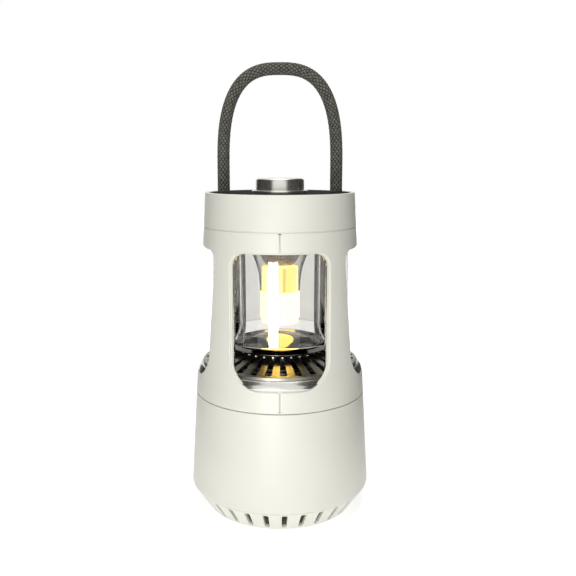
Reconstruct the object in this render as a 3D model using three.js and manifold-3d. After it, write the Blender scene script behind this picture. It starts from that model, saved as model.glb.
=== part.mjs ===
// A lantern-shaped electric bug zapper: millimetres, +Z up, origin at the centre of the face it stands on.
// The drum is the base. The head, with the lamp, the electrodes and the fan, lifts straight up off the drum.

import * as THREE from "three";
import { mergeVertices } from "three/addons/utils/BufferGeometryUtils.js";
import Module from "manifold-3d";

const wasm = await Module();
wasm.setup();

// ---------------------------------------------------------------- driving dimensions

// The cream body is one slender cone, cut by three seams. FIT is the gap between two pieces that touch.
const FOOT_RADIUS = 56;
const FOOT_HEIGHT = 15;
const TAPER = 0.0585;
const SEAM = 0.6;
const FIT = 0.3;
const GRILLE_SEAM = 14.6;
const DRUM_SEAM = 74.1;
const CAP_SEAM = 176.8;
const BODY_TOP = 197.4;
const DRUM_WALL = 2.4;
const CAGE_WALL = 2;
const CAP_WALL = 2.4;

// Bottom grille and feet.
const GRILLE_BASE = 0.5;
const GRILLE_BASE_RADIUS = 45.6;
const GRILLE_TOP_RADIUS = 55.1;
const GRILLE_FLOOR_TOP = 2.3;
const GRILLE_WALL = 2.6;
const GRILLE_SLOTS = 30;
const GRILLE_SLOT_WIDTH = 3.1;
const GRILLE_SLOT_TOP = 13.2;
const GRILLE_SLOT_TURN = 3;
const GRILLE_SCREW_TURNS = [90, 210, 330];
const GRILLE_SCREW_CIRCLE = 41;
const GRILLE_SCREW_HEAD = 2.8;
const GRILLE_SCREW_SHANK = 1.4;
const CORNER_TURNS = [45, 135, 225, 315];
const PAD_CIRCLE = 36;
const PAD_RADIUS = 4.9;
const PAD_HEIGHT = 1.1;
const SCREEN_RADIUS = 37.3;
const SCREEN_THICKNESS = 1;

// The four windows of the cage, one on each side.
const WINDOW_HALF_WIDTH = 28.5;
const WINDOW_SILL = 86.6;
const WINDOW_HEAD = 165.2;
const WINDOW_TOP_CORNER = 8;
const WINDOW_SILL_CORNER = 16.5;
const FRAME_BOTTOM = 95;
const FRAME_REVEAL = 0.8;

// Slotted intake cone under the lamp, and the mirror dish on it.
const CONE_APEX = 109.3;
const CONE_SLOPE = 0.3146;
const CONE_HUB_RADIUS = 26.4;
const CONE_SLOT_END = 46;
const CONE_RADIUS = 48;
const CONE_RIM_BOTTOM = 91;
const CONE_THICKNESS = 1.6;
const CONE_SLOTS = 32;
const CONE_SLOT_TURN = -87.3;
const CONE_SLOT_INNER_WIDTH = 2;
const CONE_SLOT_OUTER_WIDTH = 4.15;
const RING_RADIUS = 49.4;
const LIP_RADIUS = 51.4;
const DISH_RADIUS = 30;
const DISH_TOP = 106.4;

// Glass and lamp, hung from the ceiling plate or standing on the dish.
const CEILING = 168;
const CEILING_TOP = 170.4;
const CEILING_RADIUS = 44.2;
const LAMP_TOP = CEILING - FIT;
const SHADE_RADIUS = 42.3;
const SHADE_WALL = 2.2;
const SHADE_BOTTOM = 109.5;
const CHIMNEY_RADIUS = 25.7;
const CHIMNEY_WALL = 1.9;
const DIFFUSER_RADIUS = 12;
const DIFFUSER_BOTTOM = 119.7;
const DIFFUSER_TOP = 136.6;
const AMBER_RADIUS = 11.2;
const AMBER_TOP = 152;
const LED_BOARD_RADIUS = 14;
const LED_CIRCLE = 5.6;
const LED_WIDTH = 3.5;
const LED_DEPTH = 1.6;

// Electrodes, fan and motor.
const LIVE_RINGS = [20, 28, 36];
const GROUND_RINGS = [24, 32];
const ELECTRODE_REACH = 39.2;
const DUCT_INNER = 42.4;
const DUCT_OUTER = 44.7;
const DUCT_BOTTOM = 66;
const DUCT_TOP = 88.5;
const MOTOR_RADIUS = 12.3;
const MOTOR_BOTTOM = 80.4;
const MOTOR_TOP = 96;
const SHAFT_RADIUS = 1;
const BLADES = 7;
const BLADE_ROOT = 10;
const BLADE_TIP = 41.2;
const BLADE_HEIGHT = 74.8;
const HOUSING_SCREW_CIRCLE = 48;
const HOUSING_SCREW_HEAD = 1.9;
const HOUSING_SCREW_SHANK = 1;
const FLANGE_BOTTOM = 75;
const FLANGE_TOP = 77.6;

// Cap, button and electronics.
const PLATE_RADIUS = 42;
const PLATE_BOTTOM = 194.9;
const PLATE_TOP = 197.3;
const CAP_LEDGE_RADIUS = 40;
const BUTTON_RADIUS = 14.8;
const BUTTON_TOP = 205.9;
const BUTTON_WALL = 1.6;
const BUTTON_CROWN = 2;
const BUTTON_TRAVEL = 1.2;
const BUTTON_FLANGE_RADIUS = 16.3;
const BUTTON_FLANGE_BOTTOM = 191;
const STEM_RADIUS = 2.4;
const STEM_BOTTOM = 190.9;
const BEZEL_RADIUS = 17;
const BEZEL_BOTTOM = 193.1;
const BEZEL_TOP = 198.6;
const SPRING_RADIUS = 5.6;
const SPRING_WIRE = 0.5;
const SPRING_TURNS = 4;
const CAGE_FLANGE_TOP = 173;
const TRAY_RADIUS = 37;
const TRAY_TOP = 174.5;
const TRAY_POST = [22.5, 5];
const BOARD_BOTTOM = 184;
const BOARD_TOP = 185.4;
const BOARD_HALF = [25, 7.3];
const MODULE_HALF = [20, 7];
const MODULE_TOP = 183.4;
const CELL_RADIUS = 7;
const CELL_LENGTH = 50;
const CELL_Y = 19.8;
const PORT_HEIGHT = 186;
const CAP_SCREW = [16, 30.2];
const CAP_SCREW_HEAD = 2.7;
const CAP_SCREW_SHANK = 1.4;

// Rope handle.
const ROPE_RADIUS = 4;
const ROPE_HALF_SPAN = 34.1;
const ROPE_END = 186;
const ROPE_SPRING_LINE = 212;
const ROPE_CROWN = 269.8;
const ROPE_ROUNDNESS = 2.75;
const ROPE_LEG_SHARE = 0.14;
const FERRULE_RADIUS = 5.6;
const FERRULE_BOTTOM = 187;

// Sides of the round pieces, and the size of the tools that cut right through.
const ROUND = 32;
const SMALL_ROUND = 18;
const SCREW_ROUND = 8;
const BEYOND = 65;

const outerRadius = (z) => FOOT_RADIUS - TAPER * (z - FOOT_HEIGHT);
const coneHeight = (r) => CONE_APEX - CONE_SLOPE * r;
const radians = THREE.MathUtils.degToRad;

// ---------------------------------------------------------------- solids

// A closed three.js geometry as a solid that can be joined and cut.
function solid(geometry) {
  const source = geometry.index ? geometry.toNonIndexed() : geometry;
  const bare = new THREE.BufferGeometry();
  bare.setAttribute("position", source.getAttribute("position"));
  const merged = mergeVertices(bare, 1e-4);
  const mesh = new wasm.Mesh({
    numProp: 3,
    vertProperties: merged.attributes.position.array,
    triVerts: new Uint32Array(merged.index.array),
  });
  return new wasm.Manifold(mesh);
}

// A solid of revolution about Z. Its [radius, height] points run anticlockwise, from axis to axis.
function turned(profile, sides = ROUND) {
  const points = profile.map(([r, z]) => new THREE.Vector2(r, z));
  return solid(new THREE.LatheGeometry(points, sides).rotateX(Math.PI / 2));
}

// A solid of revolution whose profile closes on itself.
function ring(profile, sides = ROUND) {
  return turned([...profile, profile[0]], sides);
}

function hoop(inner, outer, bottom, top, sides = ROUND) {
  return ring([[inner, bottom], [outer, bottom], [outer, top], [inner, top]], sides);
}

function disc(radius, bottom, top, sides = ROUND) {
  return turned([[0, bottom], [radius, bottom], [radius, top], [0, top]], sides);
}

// A disc at a point of the XY plane.
function post(radius, bottom, top, [x, y], sides = SCREW_ROUND) {
  return disc(radius, bottom, top, sides).translate([x, y, 0]);
}

function block([x0, y0, z0], [x1, y1, z1]) {
  const box = new THREE.BoxGeometry(x1 - x0, y1 - y0, z1 - z0);
  return solid(box.translate((x0 + x1) / 2, (y0 + y1) / 2, (z0 + z1) / 2));
}

// A block centred on the Z axis, from its half sizes.
function slab([halfX, halfY], bottom, top) {
  return block([-halfX, -halfY, bottom], [halfX, halfY, top]);
}

function union(...parts) {
  return parts.reduce((whole, part) => whole.add(part));
}

function cut(whole, ...tools) {
  return tools.reduce((rest, tool) => rest.subtract(tool), whole);
}

function aboutZ(part, degrees) {
  return part.rotate([0, 0, degrees]);
}

// Copies of a solid evenly spaced about Z.
function spaced(part, count, turn = 0) {
  const copies = Array.from({ length: count }, (_, i) => aboutZ(part, turn + (360 * i) / count));
  return union(...copies);
}

function onCircle(radius, degrees) {
  return [radius * Math.cos(radians(degrees)), radius * Math.sin(radians(degrees))];
}

function inFourCorners([x, y]) {
  return [[x, y], [-x, y], [-x, -y], [x, -y]];
}

const grilleScrewPlaces = GRILLE_SCREW_TURNS.map((turn) => onCircle(GRILLE_SCREW_CIRCLE, turn));
const padPlaces = CORNER_TURNS.map((turn) => onCircle(PAD_CIRCLE, turn));
const housingScrewPlaces = CORNER_TURNS.map((turn) => onCircle(HOUSING_SCREW_CIRCLE, turn));
const capScrewPlaces = inFourCorners(CAP_SCREW);

// ---------------------------------------------------------------- the tree of named pieces

const zapper = new THREE.Group();
zapper.name = "bug_zapper";

const FINISHES = {
  cream: { color: 0xdcdbcf, roughness: 0.45, metalness: 0 },
  charcoal: { color: 0x38372f, roughness: 0.7, metalness: 0 },
  darkChrome: { color: 0x4a4944, roughness: 0.12, metalness: 1 },
  chrome: { color: 0xc9c8c4, roughness: 0.1, metalness: 1 },
  satinSilver: { color: 0xb4b2a8, roughness: 0.32, metalness: 1 },
  glass: { color: 0xf2f4f2, roughness: 0.02, metalness: 0, transparent: true, opacity: 0.3 },
  amber: { color: 0xfcc868, roughness: 0.4, metalness: 0, emissive: 0xffb040 },
  glow: { color: 0xfffbd8, roughness: 0.5, metalness: 0, emissive: 0xfff6b8 },
  rope: { color: 0x2e2e2a, roughness: 0.9, metalness: 0 },
  rubber: { color: 0x262624, roughness: 0.9, metalness: 0 },
  steel: { color: 0x9a9a98, roughness: 0.35, metalness: 1 },
  board: { color: 0x1f5a38, roughness: 0.6, metalness: 0 },
  blackPlastic: { color: 0x232325, roughness: 0.55, metalness: 0 },
  cell: { color: 0x2c6fb0, roughness: 0.45, metalness: 0 },
  led: { color: 0x9c86e8, roughness: 0.3, metalness: 0 },
};

function add(name, part, finish) {
  const { vertProperties, triVerts, numProp } = part.getMesh();
  const positions = new Float32Array((vertProperties.length / numProp) * 3);
  for (let i = 0; i < positions.length / 3; i++) {
    positions.set(vertProperties.subarray(i * numProp, i * numProp + 3), i * 3);
  }
  const geometry = new THREE.BufferGeometry();
  geometry.setAttribute("position", new THREE.BufferAttribute(positions, 3));
  geometry.setIndex(new THREE.BufferAttribute(triVerts, 1));
  geometry.computeVertexNormals();
  const mesh = new THREE.Mesh(geometry, new THREE.MeshStandardMaterial(FINISHES[finish]));
  mesh.name = name;
  zapper.add(mesh);
}

// Repeated pieces, numbered from 1, one at each place.
function addEach(name, places, make, finish) {
  places.forEach((at, i) => add(`${name}_${i + 1}`, make(at), finish));
}

// ---------------------------------------------------------------- base: drum, grille, screen, feet

const DRUM_BOTTOM = GRILLE_SEAM + FIT;
const DRUM_TOP = DRUM_SEAM - FIT;
const DRUM_FLOOR_TOP = 17.6;
const DRUM_OUTLET_RADIUS = 36;
const SCREEN_SEAT = 16.4;
const SEAL_DEPTH = 1.2;

// A shallow dish with slots all round its sloping wall.
function bottomGrille() {
  const top = GRILLE_SEAM - FIT;
  const floorRadius = GRILLE_BASE_RADIUS - 1.7;
  const shell = turned([
    [0, GRILLE_BASE],
    [GRILLE_BASE_RADIUS, GRILLE_BASE],
    [GRILLE_TOP_RADIUS, top],
    [GRILLE_TOP_RADIUS - GRILLE_WALL, top],
    [floorRadius, GRILLE_FLOOR_TOP],
    [0, GRILLE_FLOOR_TOP],
  ], GRILLE_SLOTS);
  const half = GRILLE_SLOT_WIDTH / 2;
  const slot = block([floorRadius, -half, GRILLE_FLOOR_TOP + 0.2], [BEYOND, half, GRILLE_SLOT_TOP]);
  const slots = spaced(slot, GRILLE_SLOTS, GRILLE_SLOT_TURN);
  const bosses = grilleScrewPlaces.map((at) => post(3.6, GRILLE_BASE + 1, GRILLE_SEAM, at));
  const bores = grilleScrewPlaces.map((at) => post(GRILLE_SCREW_SHANK + FIT, 0, BEYOND, at));
  const headSeats = grilleScrewPlaces.map((at) => post(GRILLE_SCREW_HEAD + FIT, 0, 2.6, at));
  const padSeats = padPlaces.map((at) => post(PAD_RADIUS + FIT, 0, PAD_HEIGHT + FIT, at, SMALL_ROUND));
  return cut(union(cut(shell, slots), ...bosses), ...bores, ...headSeats, ...padSeats);
}

function collectionDrum() {
  const sealSeat = DRUM_TOP - SEAL_DEPTH;
  const screenEdge = SCREEN_RADIUS + 0.7;
  const shell = ring([
    [DRUM_OUTLET_RADIUS, DRUM_BOTTOM],
    [FOOT_RADIUS - 0.5, DRUM_BOTTOM],
    [FOOT_RADIUS, DRUM_BOTTOM + 1],
    [outerRadius(DRUM_TOP), DRUM_TOP],
    [outerRadius(DRUM_TOP) - 1, DRUM_TOP],
    [outerRadius(DRUM_TOP) - 1, sealSeat],
    [outerRadius(sealSeat) - DRUM_WALL, sealSeat],
    [outerRadius(DRUM_FLOOR_TOP) - DRUM_WALL, DRUM_FLOOR_TOP],
    [screenEdge, DRUM_FLOOR_TOP],
    [screenEdge, SCREEN_SEAT],
    [DRUM_OUTLET_RADIUS, SCREEN_SEAT],
  ]);
  const bosses = grilleScrewPlaces.map((at) => post(3.4, DRUM_BOTTOM + 1, 23, at));
  const bores = grilleScrewPlaces.map((at) => post(GRILLE_SCREW_SHANK + FIT, 0, 22, at));
  return cut(union(shell, ...bosses), ...bores);
}

// A slotted disc in place of the woven screen that holds insects back from the outlet.
function insectScreen() {
  const bottom = SCREEN_SEAT + FIT;
  const openRadius = 34;
  const spacing = 7;
  const halfSlot = 2;
  const halfRib = 1;
  const slots = [-4, -3, -2, -1, 0, 1, 2, 3, 4].flatMap((i) => {
    const x = i * spacing;
    const reach = Math.sqrt(openRadius ** 2 - (Math.abs(x) + halfSlot) ** 2);
    const behind = block([x - halfSlot, halfRib, 0], [x + halfSlot, reach, BEYOND]);
    const before = block([x - halfSlot, -reach, 0], [x + halfSlot, -halfRib, BEYOND]);
    return [behind, before];
  });
  return cut(disc(SCREEN_RADIUS, bottom, bottom + SCREEN_THICKNESS), ...slots);
}

function drumSeal() {
  const outer = outerRadius(DRUM_TOP) - 1 - FIT;
  return hoop(outer - 0.7, outer, DRUM_TOP - SEAL_DEPTH + FIT, DRUM_SEAM);
}

function grilleScrew(at) {
  return union(post(GRILLE_SCREW_HEAD, 0.9, 2.3, at), post(GRILLE_SCREW_SHANK, 2, 21, at));
}

function footPad(at) {
  return post(PAD_RADIUS, 0, PAD_HEIGHT, at, SMALL_ROUND);
}

add("collection_drum", collectionDrum(), "cream");
add("bottom_grille", bottomGrille(), "cream");
add("insect_screen", insectScreen(), "steel");
add("drum_seal", drumSeal(), "rubber");
addEach("grille_screw", grilleScrewPlaces, grilleScrew, "steel");
addEach("foot", padPlaces, footPad, "rubber");

// ---------------------------------------------------------------- cage, frame and silver ring

// Two crossed bars with the windows' outline. Inset makes them smaller all round.
function windowBars(inset = 0, sill = WINDOW_SILL) {
  const w = WINDOW_HALF_WIDTH - inset;
  const top = WINDOW_HEAD - inset;
  const bottom = sill + inset;
  const r = WINDOW_TOP_CORNER - inset;
  const s = WINDOW_SILL_CORNER - inset;
  const outline = new THREE.Shape();
  outline.moveTo(-w + s, bottom);
  outline.lineTo(w - s, bottom);
  outline.absarc(w - s, bottom + s, s, -Math.PI / 2, 0, false);
  outline.absarc(w - r, top - r, r, 0, Math.PI / 2, false);
  outline.absarc(-w + r, top - r, r, Math.PI / 2, Math.PI, false);
  outline.absarc(-w + s, bottom + s, s, Math.PI, 1.5 * Math.PI, false);
  const options = { depth: 2 * BEYOND, bevelEnabled: false, curveSegments: 5 };
  const bar = new THREE.ExtrudeGeometry(outline, options).rotateX(Math.PI / 2).translate(0, BEYOND, 0);
  return union(solid(bar), aboutZ(solid(bar), 90));
}

// One half shell of the cage. Side is -1 for the left half and 1 for the right.
function cageHalf(side) {
  const bottom = DRUM_SEAM + SEAM / 2;
  const top = CAP_SEAM - SEAM / 2;
  const halfJoint = 0.25;
  const wall = ring([
    [outerRadius(bottom) - CAGE_WALL, bottom],
    [outerRadius(bottom), bottom],
    [outerRadius(top), top],
    [outerRadius(top) - CAGE_WALL, top],
  ]);
  const flange = hoop(29, 45.5, CEILING_TOP + FIT, CAGE_FLANGE_TOP);
  const bosses = housingScrewPlaces.map((at) => post(2.8, FLANGE_TOP + FIT, 84, at));
  const bores = housingScrewPlaces.map((at) => post(HOUSING_SCREW_SHANK + FIT, 0, 83.3, at));
  const flangeHoles = capScrewPlaces.map((at) => post(CAP_SCREW_SHANK + FIT, CEILING, BODY_TOP, at));
  const shell = cut(union(cut(wall, windowBars()), flange, ...bosses), ...bores, ...flangeHoles);
  const near = side * halfJoint;
  const far = side * BEYOND;
  const half = block([Math.min(near, far), -BEYOND, 0], [Math.max(near, far), BEYOND, BODY_TOP]);
  return shell.intersect(half);
}

// The dark inner frame behind the pillars: a top ring and four legs down to the rim of the intake cone.
function innerFrame() {
  const outside = CAGE_WALL + FIT;
  const inside = outside + 1.6;
  const sleeve = ring([
    [outerRadius(FRAME_BOTTOM) - inside, FRAME_BOTTOM],
    [outerRadius(FRAME_BOTTOM) - outside, FRAME_BOTTOM],
    [outerRadius(LAMP_TOP) - outside, LAMP_TOP],
    [outerRadius(LAMP_TOP) - inside, LAMP_TOP],
  ]);
  const belowFrame = FRAME_BOTTOM - 2 * WINDOW_SILL_CORNER;
  return cut(sleeve, windowBars(FRAME_REVEAL, belowFrame));
}

// A full ring inside the cage, with a rounded lip that fills the foot of each window.
function silverRing() {
  const seat = CONE_RIM_BOTTOM - FIT;
  const core = ring([
    [46.3, 85],
    [RING_RADIUS, 85],
    [RING_RADIUS, 92],
    [CONE_RADIUS + FIT, 92.6],
    [CONE_RADIUS + FIT, seat],
    [46.3, seat],
  ]);
  const lip = ring([
    [RING_RADIUS - 1, WINDOW_SILL + FIT],
    [LIP_RADIUS, WINDOW_SILL + FIT],
    [LIP_RADIUS, 88.4],
    [50.6, 90.6],
    [RING_RADIUS, 92],
    [RING_RADIUS - 1, 92.4],
  ]);
  return union(core, lip.intersect(windowBars(FIT)));
}

add("cage_left", cageHalf(-1), "cream");
add("cage_right", cageHalf(1), "cream");
add("inner_frame", innerFrame(), "darkChrome");
add("silver_ring", silverRing(), "satinSilver");

// ---------------------------------------------------------------- intake cone, dish, glass and lamp

function intakeCone() {
  const hubTop = coneHeight(CONE_HUB_RADIUS);
  const rimInside = CONE_SLOT_END + 0.2;
  const body = turned([
    [0, hubTop - CONE_THICKNESS],
    [CONE_HUB_RADIUS, hubTop - CONE_THICKNESS],
    [rimInside, coneHeight(rimInside) - CONE_THICKNESS],
    [rimInside, CONE_RIM_BOTTOM],
    [CONE_RADIUS, CONE_RIM_BOTTOM],
    [CONE_RADIUS, coneHeight(CONE_RADIUS)],
    [CONE_HUB_RADIUS, hubTop],
    [0, hubTop],
  ], CONE_SLOTS);
  const slotStart = CONE_HUB_RADIUS + 0.5;
  const outline = new THREE.Shape();
  outline.moveTo(slotStart, -CONE_SLOT_INNER_WIDTH / 2);
  outline.lineTo(CONE_SLOT_END, -CONE_SLOT_OUTER_WIDTH / 2);
  outline.lineTo(CONE_SLOT_END, CONE_SLOT_OUTER_WIDTH / 2);
  outline.lineTo(slotStart, CONE_SLOT_INNER_WIDTH / 2);
  const slot = new THREE.ExtrudeGeometry(outline, { depth: CONE_APEX, bevelEnabled: false });
  return cut(body, spaced(solid(slot), CONE_SLOTS, CONE_SLOT_TURN));
}

// A mirror dish with a flat floor and a lip for the inner glass.
function reflectorDish() {
  const base = coneHeight(CONE_HUB_RADIUS) + FIT;
  const floorTop = base + CONE_THICKNESS;
  return turned([
    [0, base],
    [25.2, base],
    [26.6, base + 1.9],
    [DISH_RADIUS, DISH_TOP - 1],
    [DISH_RADIUS, DISH_TOP],
    [27, DISH_TOP],
    [25.4, DISH_TOP - 2.5],
    [22.5, floorTop],
    [0, floorTop],
  ]);
}

// The inner glass stands on the dish with a flared foot.
function glassChimney() {
  const inside = CHIMNEY_RADIUS - CHIMNEY_WALL;
  const foot = DISH_TOP + FIT;
  const flareTop = 115;
  const flareMiddle = 110.4;
  return ring([
    [27.4, foot],
    [29.8, foot],
    [27, flareMiddle],
    [CHIMNEY_RADIUS, flareTop],
    [CHIMNEY_RADIUS, LAMP_TOP],
    [inside, LAMP_TOP],
    [inside, flareTop],
    [inside + 1, flareMiddle],
  ]);
}

// The trumpet of clear plastic that carries the light down from the board.
function lightGuideHorn() {
  const bottom = DIFFUSER_TOP + FIT;
  return ring([
    [11.5, bottom],
    [12.3, bottom],
    [13.2, 147.5],
    [14.9, 154.1],
    [16.7, 158.9],
    [21.6, LAMP_TOP],
    [20, LAMP_TOP],
    [15.2, 158.9],
    [13.4, 154.1],
    [11.7, 147.5],
  ], SMALL_ROUND);
}

// A cup round the light source, inside the top of the horn.
function ledReflector() {
  return ring([
    [7.6, 153.4],
    [8.8, 153.4],
    [12.8, 160],
    [16.4, LAMP_TOP],
    [15.2, LAMP_TOP],
    [11.6, 160],
  ], SMALL_ROUND);
}

function lampDiffuser() {
  const inside = DIFFUSER_RADIUS - 1.2;
  const floorTop = DIFFUSER_BOTTOM + 1.5;
  const edge = 0.6;
  return turned([
    [0, DIFFUSER_BOTTOM],
    [DIFFUSER_RADIUS - edge, DIFFUSER_BOTTOM],
    [DIFFUSER_RADIUS, DIFFUSER_BOTTOM + edge],
    [DIFFUSER_RADIUS, DIFFUSER_TOP],
    [inside, DIFFUSER_TOP],
    [inside, floorTop],
    [0, floorTop],
  ], SMALL_ROUND);
}

// A small disc under the diffuser, on a short neck.
function diffuserEndCap() {
  return union(disc(11.3, 117, 118.4, SMALL_ROUND), disc(2.5, 118, DIFFUSER_BOTTOM - FIT, SCREW_ROUND));
}

function amberSleeve() {
  return hoop(AMBER_RADIUS - 1.3, AMBER_RADIUS, DIFFUSER_TOP + FIT, AMBER_TOP, SMALL_ROUND);
}

function ceilingPlate() {
  const holes = capScrewPlaces.map((at) => post(CAP_SCREW_SHANK + FIT, 0, BODY_TOP, at));
  const lightHole = disc(10.5, 0, BODY_TOP, SMALL_ROUND);
  return cut(disc(CEILING_RADIUS, CEILING, CEILING_TOP), lightHole, ...holes);
}

function uvLed([x, y]) {
  const half = LED_WIDTH / 2;
  return block([x - half, y - half, CEILING_TOP - LED_DEPTH], [x + half, y + half, CEILING_TOP]);
}

function ledBoard() {
  const bottom = CEILING_TOP + FIT;
  return disc(LED_BOARD_RADIUS, bottom, bottom + 1.4, SMALL_ROUND);
}

const ledPlaces = CORNER_TURNS.map((turn) => onCircle(LED_CIRCLE, turn));

add("intake_cone", intakeCone(), "darkChrome");
add("reflector_dish", reflectorDish(), "darkChrome");
add("glass_chimney", glassChimney(), "glass");
add("glass_shade", hoop(SHADE_RADIUS - SHADE_WALL, SHADE_RADIUS, SHADE_BOTTOM, LAMP_TOP), "glass");
add("light_guide_horn", lightGuideHorn(), "glass");
add("amber_sleeve", amberSleeve(), "amber");
add("led_reflector", ledReflector(), "darkChrome");
add("lamp_diffuser", lampDiffuser(), "glow");
add("diffuser_end_cap", diffuserEndCap(), "glow");
add("ceiling_plate", ceilingPlate(), "charcoal");
add("led_board", ledBoard(), "board");
addEach("uv_led", ledPlaces, uvLed, "led");

// ---------------------------------------------------------------- electrodes and fan

// Concentric electrode rings, joined by a bus bar that runs out along X. Direction is -1 or 1.
function electrode(radii, ringBottom, barBottom, direction) {
  const halfWire = 0.5;
  const rings = radii.map((r) => hoop(r - halfWire, r + halfWire, ringBottom, ringBottom + 1.3, SMALL_ROUND));
  const start = direction * (radii[0] - halfWire);
  const end = direction * ELECTRODE_REACH;
  const bar = block([Math.min(start, end), -1, barBottom], [Math.max(start, end), 1, barBottom + 1]);
  return union(bar, ...rings);
}

// The duct round the fan, its flange under the cage, and the cup that holds the motor on three arms.
function fanHousing() {
  const cupBottom = 82;
  const armBottom = 84;
  const duct = hoop(DUCT_INNER, DUCT_OUTER, DUCT_BOTTOM, DUCT_TOP);
  const flange = hoop(DUCT_OUTER - 0.5, 50, FLANGE_BOTTOM, FLANGE_TOP);
  const cup = hoop(MOTOR_RADIUS + FIT, MOTOR_RADIUS + 2.3, cupBottom, cupBottom + 9, SMALL_ROUND);
  const arm = block([MOTOR_RADIUS + 1.3, -2.5, armBottom], [DUCT_INNER + 0.6, 2.5, armBottom + 3]);
  const holes = housingScrewPlaces.map((at) => post(HOUSING_SCREW_SHANK + FIT, 0, BEYOND + FLANGE_TOP, at));
  return cut(union(duct, flange, cup, spaced(arm, 3, 90)), ...holes);
}

function fanMotor() {
  const shaftSocket = disc(SHAFT_RADIUS + 0.2, 0, 87, SCREW_ROUND);
  return cut(disc(MOTOR_RADIUS, MOTOR_BOTTOM, MOTOR_TOP, SMALL_ROUND), shaftSocket);
}

// One blade along X. It is narrow and steep at the hub, and broad and flat at the tip.
function fanBlade() {
  const halfChord = 8;
  const halfThickness = 0.7;
  const length = BLADE_TIP - BLADE_ROOT;
  const outline = new THREE.Shape();
  outline.moveTo(-halfChord, -halfThickness);
  outline.lineTo(halfChord, -halfThickness);
  outline.lineTo(halfChord, halfThickness);
  outline.lineTo(-halfChord, halfThickness);
  const blade = new THREE.ExtrudeGeometry(outline, { depth: length, bevelEnabled: false, steps: 4 });
  const place = blade.getAttribute("position");
  for (let i = 0; i < place.count; i++) {
    const along = place.getZ(i) / length;
    const pitch = radians(THREE.MathUtils.lerp(48, 26, along));
    const x = place.getX(i) * THREE.MathUtils.lerp(0.62, 1, along);
    const y = place.getY(i);
    const across = x * Math.cos(pitch) - y * Math.sin(pitch);
    const up = x * Math.sin(pitch) + y * Math.cos(pitch);
    place.setXYZ(i, BLADE_ROOT + place.getZ(i), across, up + BLADE_HEIGHT);
  }
  return solid(blade);
}

function fanImpeller() {
  const hubBottom = 69.6;
  const hubTop = 79.6;
  const hub = turned([
    [0, hubBottom],
    [9, hubBottom],
    [11, hubBottom + 1.6],
    [11, hubTop],
    [8.6, hubTop],
    [8.6, 73],
    [2.6, 73],
    [2.6, 76],
    [0, 76],
  ], SMALL_ROUND);
  const shaftHole = disc(SHAFT_RADIUS + FIT, hubBottom + 1.4, hubTop, SCREW_ROUND);
  return cut(union(hub, spaced(fanBlade(), BLADES)), shaftHole);
}

function housingScrew(at) {
  const headBottom = 73.3;
  const head = post(HOUSING_SCREW_HEAD, headBottom, headBottom + 1.4, at);
  return union(head, post(HOUSING_SCREW_SHANK, headBottom + 1, 82.8, at));
}

add("electrode_frame", hoop(ELECTRODE_REACH + FIT, 44.4, DUCT_TOP + FIT, 92.2), "blackPlastic");
add("electrode_live", electrode(LIVE_RINGS, 90, 89.1, 1), "steel");
add("electrode_ground", electrode(GROUND_RINGS, 90.6, 91.7, -1), "steel");
add("fan_housing", fanHousing(), "blackPlastic");
add("fan_motor", fanMotor(), "steel");
add("fan_impeller", fanImpeller(), "blackPlastic");
add("motor_shaft", disc(SHAFT_RADIUS, 71.3, 86.7, SCREW_ROUND), "steel");
addEach("housing_screw", housingScrewPlaces, housingScrew, "steel");

// ---------------------------------------------------------------- cap, electronics and button

const PORT_SHELF = PORT_HEIGHT - 2.1;

function capRing() {
  const bottom = CAP_SEAM + SEAM / 2;
  const ledge = PLATE_BOTTOM - FIT;
  const shell = ring([
    [outerRadius(bottom) - CAP_WALL, bottom],
    [outerRadius(bottom), bottom],
    [outerRadius(BODY_TOP), BODY_TOP],
    [PLATE_RADIUS + FIT, BODY_TOP],
    [PLATE_RADIUS + FIT, ledge],
    [CAP_LEDGE_RADIUS, ledge],
    [CAP_LEDGE_RADIUS, ledge - 2],
    [outerRadius(PLATE_BOTTOM) - CAP_WALL, ledge - 4.7],
  ]);
  const shelf = block([-6, 37.5, PORT_SHELF - 1.5], [6, 44.5, PORT_SHELF]);
  const mouth = block([-4.9, 40, PORT_HEIGHT - 2], [4.9, 50, PORT_HEIGHT + 2]);
  return cut(union(shell, shelf), mouth);
}

// A metal socket on the cap's shelf, open at the back, with a tongue inside.
function chargingPort() {
  const can = block([-4.6, 38.2, PORT_HEIGHT - 1.7], [4.6, 45.4, PORT_HEIGHT + 1.7]);
  const cavity = block([-4.1, 39.6, PORT_HEIGHT - 1.2], [4.1, 47, PORT_HEIGHT + 1.2]);
  const tongue = block([-3.3, 39, PORT_HEIGHT - 0.35], [3.3, 44.6, PORT_HEIGHT + 0.35]);
  return union(cut(can, cavity), tongue);
}

const ropeEnds = [-1, 1].map((side) => [side * ROPE_HALF_SPAN, 0]);

function topPlate() {
  const bosses = capScrewPlaces.map((at) => post(3.1, CAGE_FLANGE_TOP + FIT, PLATE_BOTTOM + 1, at));
  const bores = capScrewPlaces.map((at) => post(CAP_SCREW_SHANK + FIT, 0, 186, at));
  const ropeHoles = ropeEnds.map((at) => post(ROPE_RADIUS + 0.4, 0, BEYOND + PLATE_TOP, at, SMALL_ROUND));
  const buttonHole = disc(BEZEL_RADIUS + FIT, 0, BEYOND + PLATE_TOP);
  const plate = union(disc(PLATE_RADIUS, PLATE_BOTTOM, PLATE_TOP), ...bosses);
  return cut(plate, ...bores, ...ropeHoles, buttonHole);
}

function capScrew(at) {
  const headTop = LAMP_TOP;
  return union(post(CAP_SCREW_HEAD, 166, headTop, at), post(CAP_SCREW_SHANK, headTop - FIT, 185, at));
}

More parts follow.
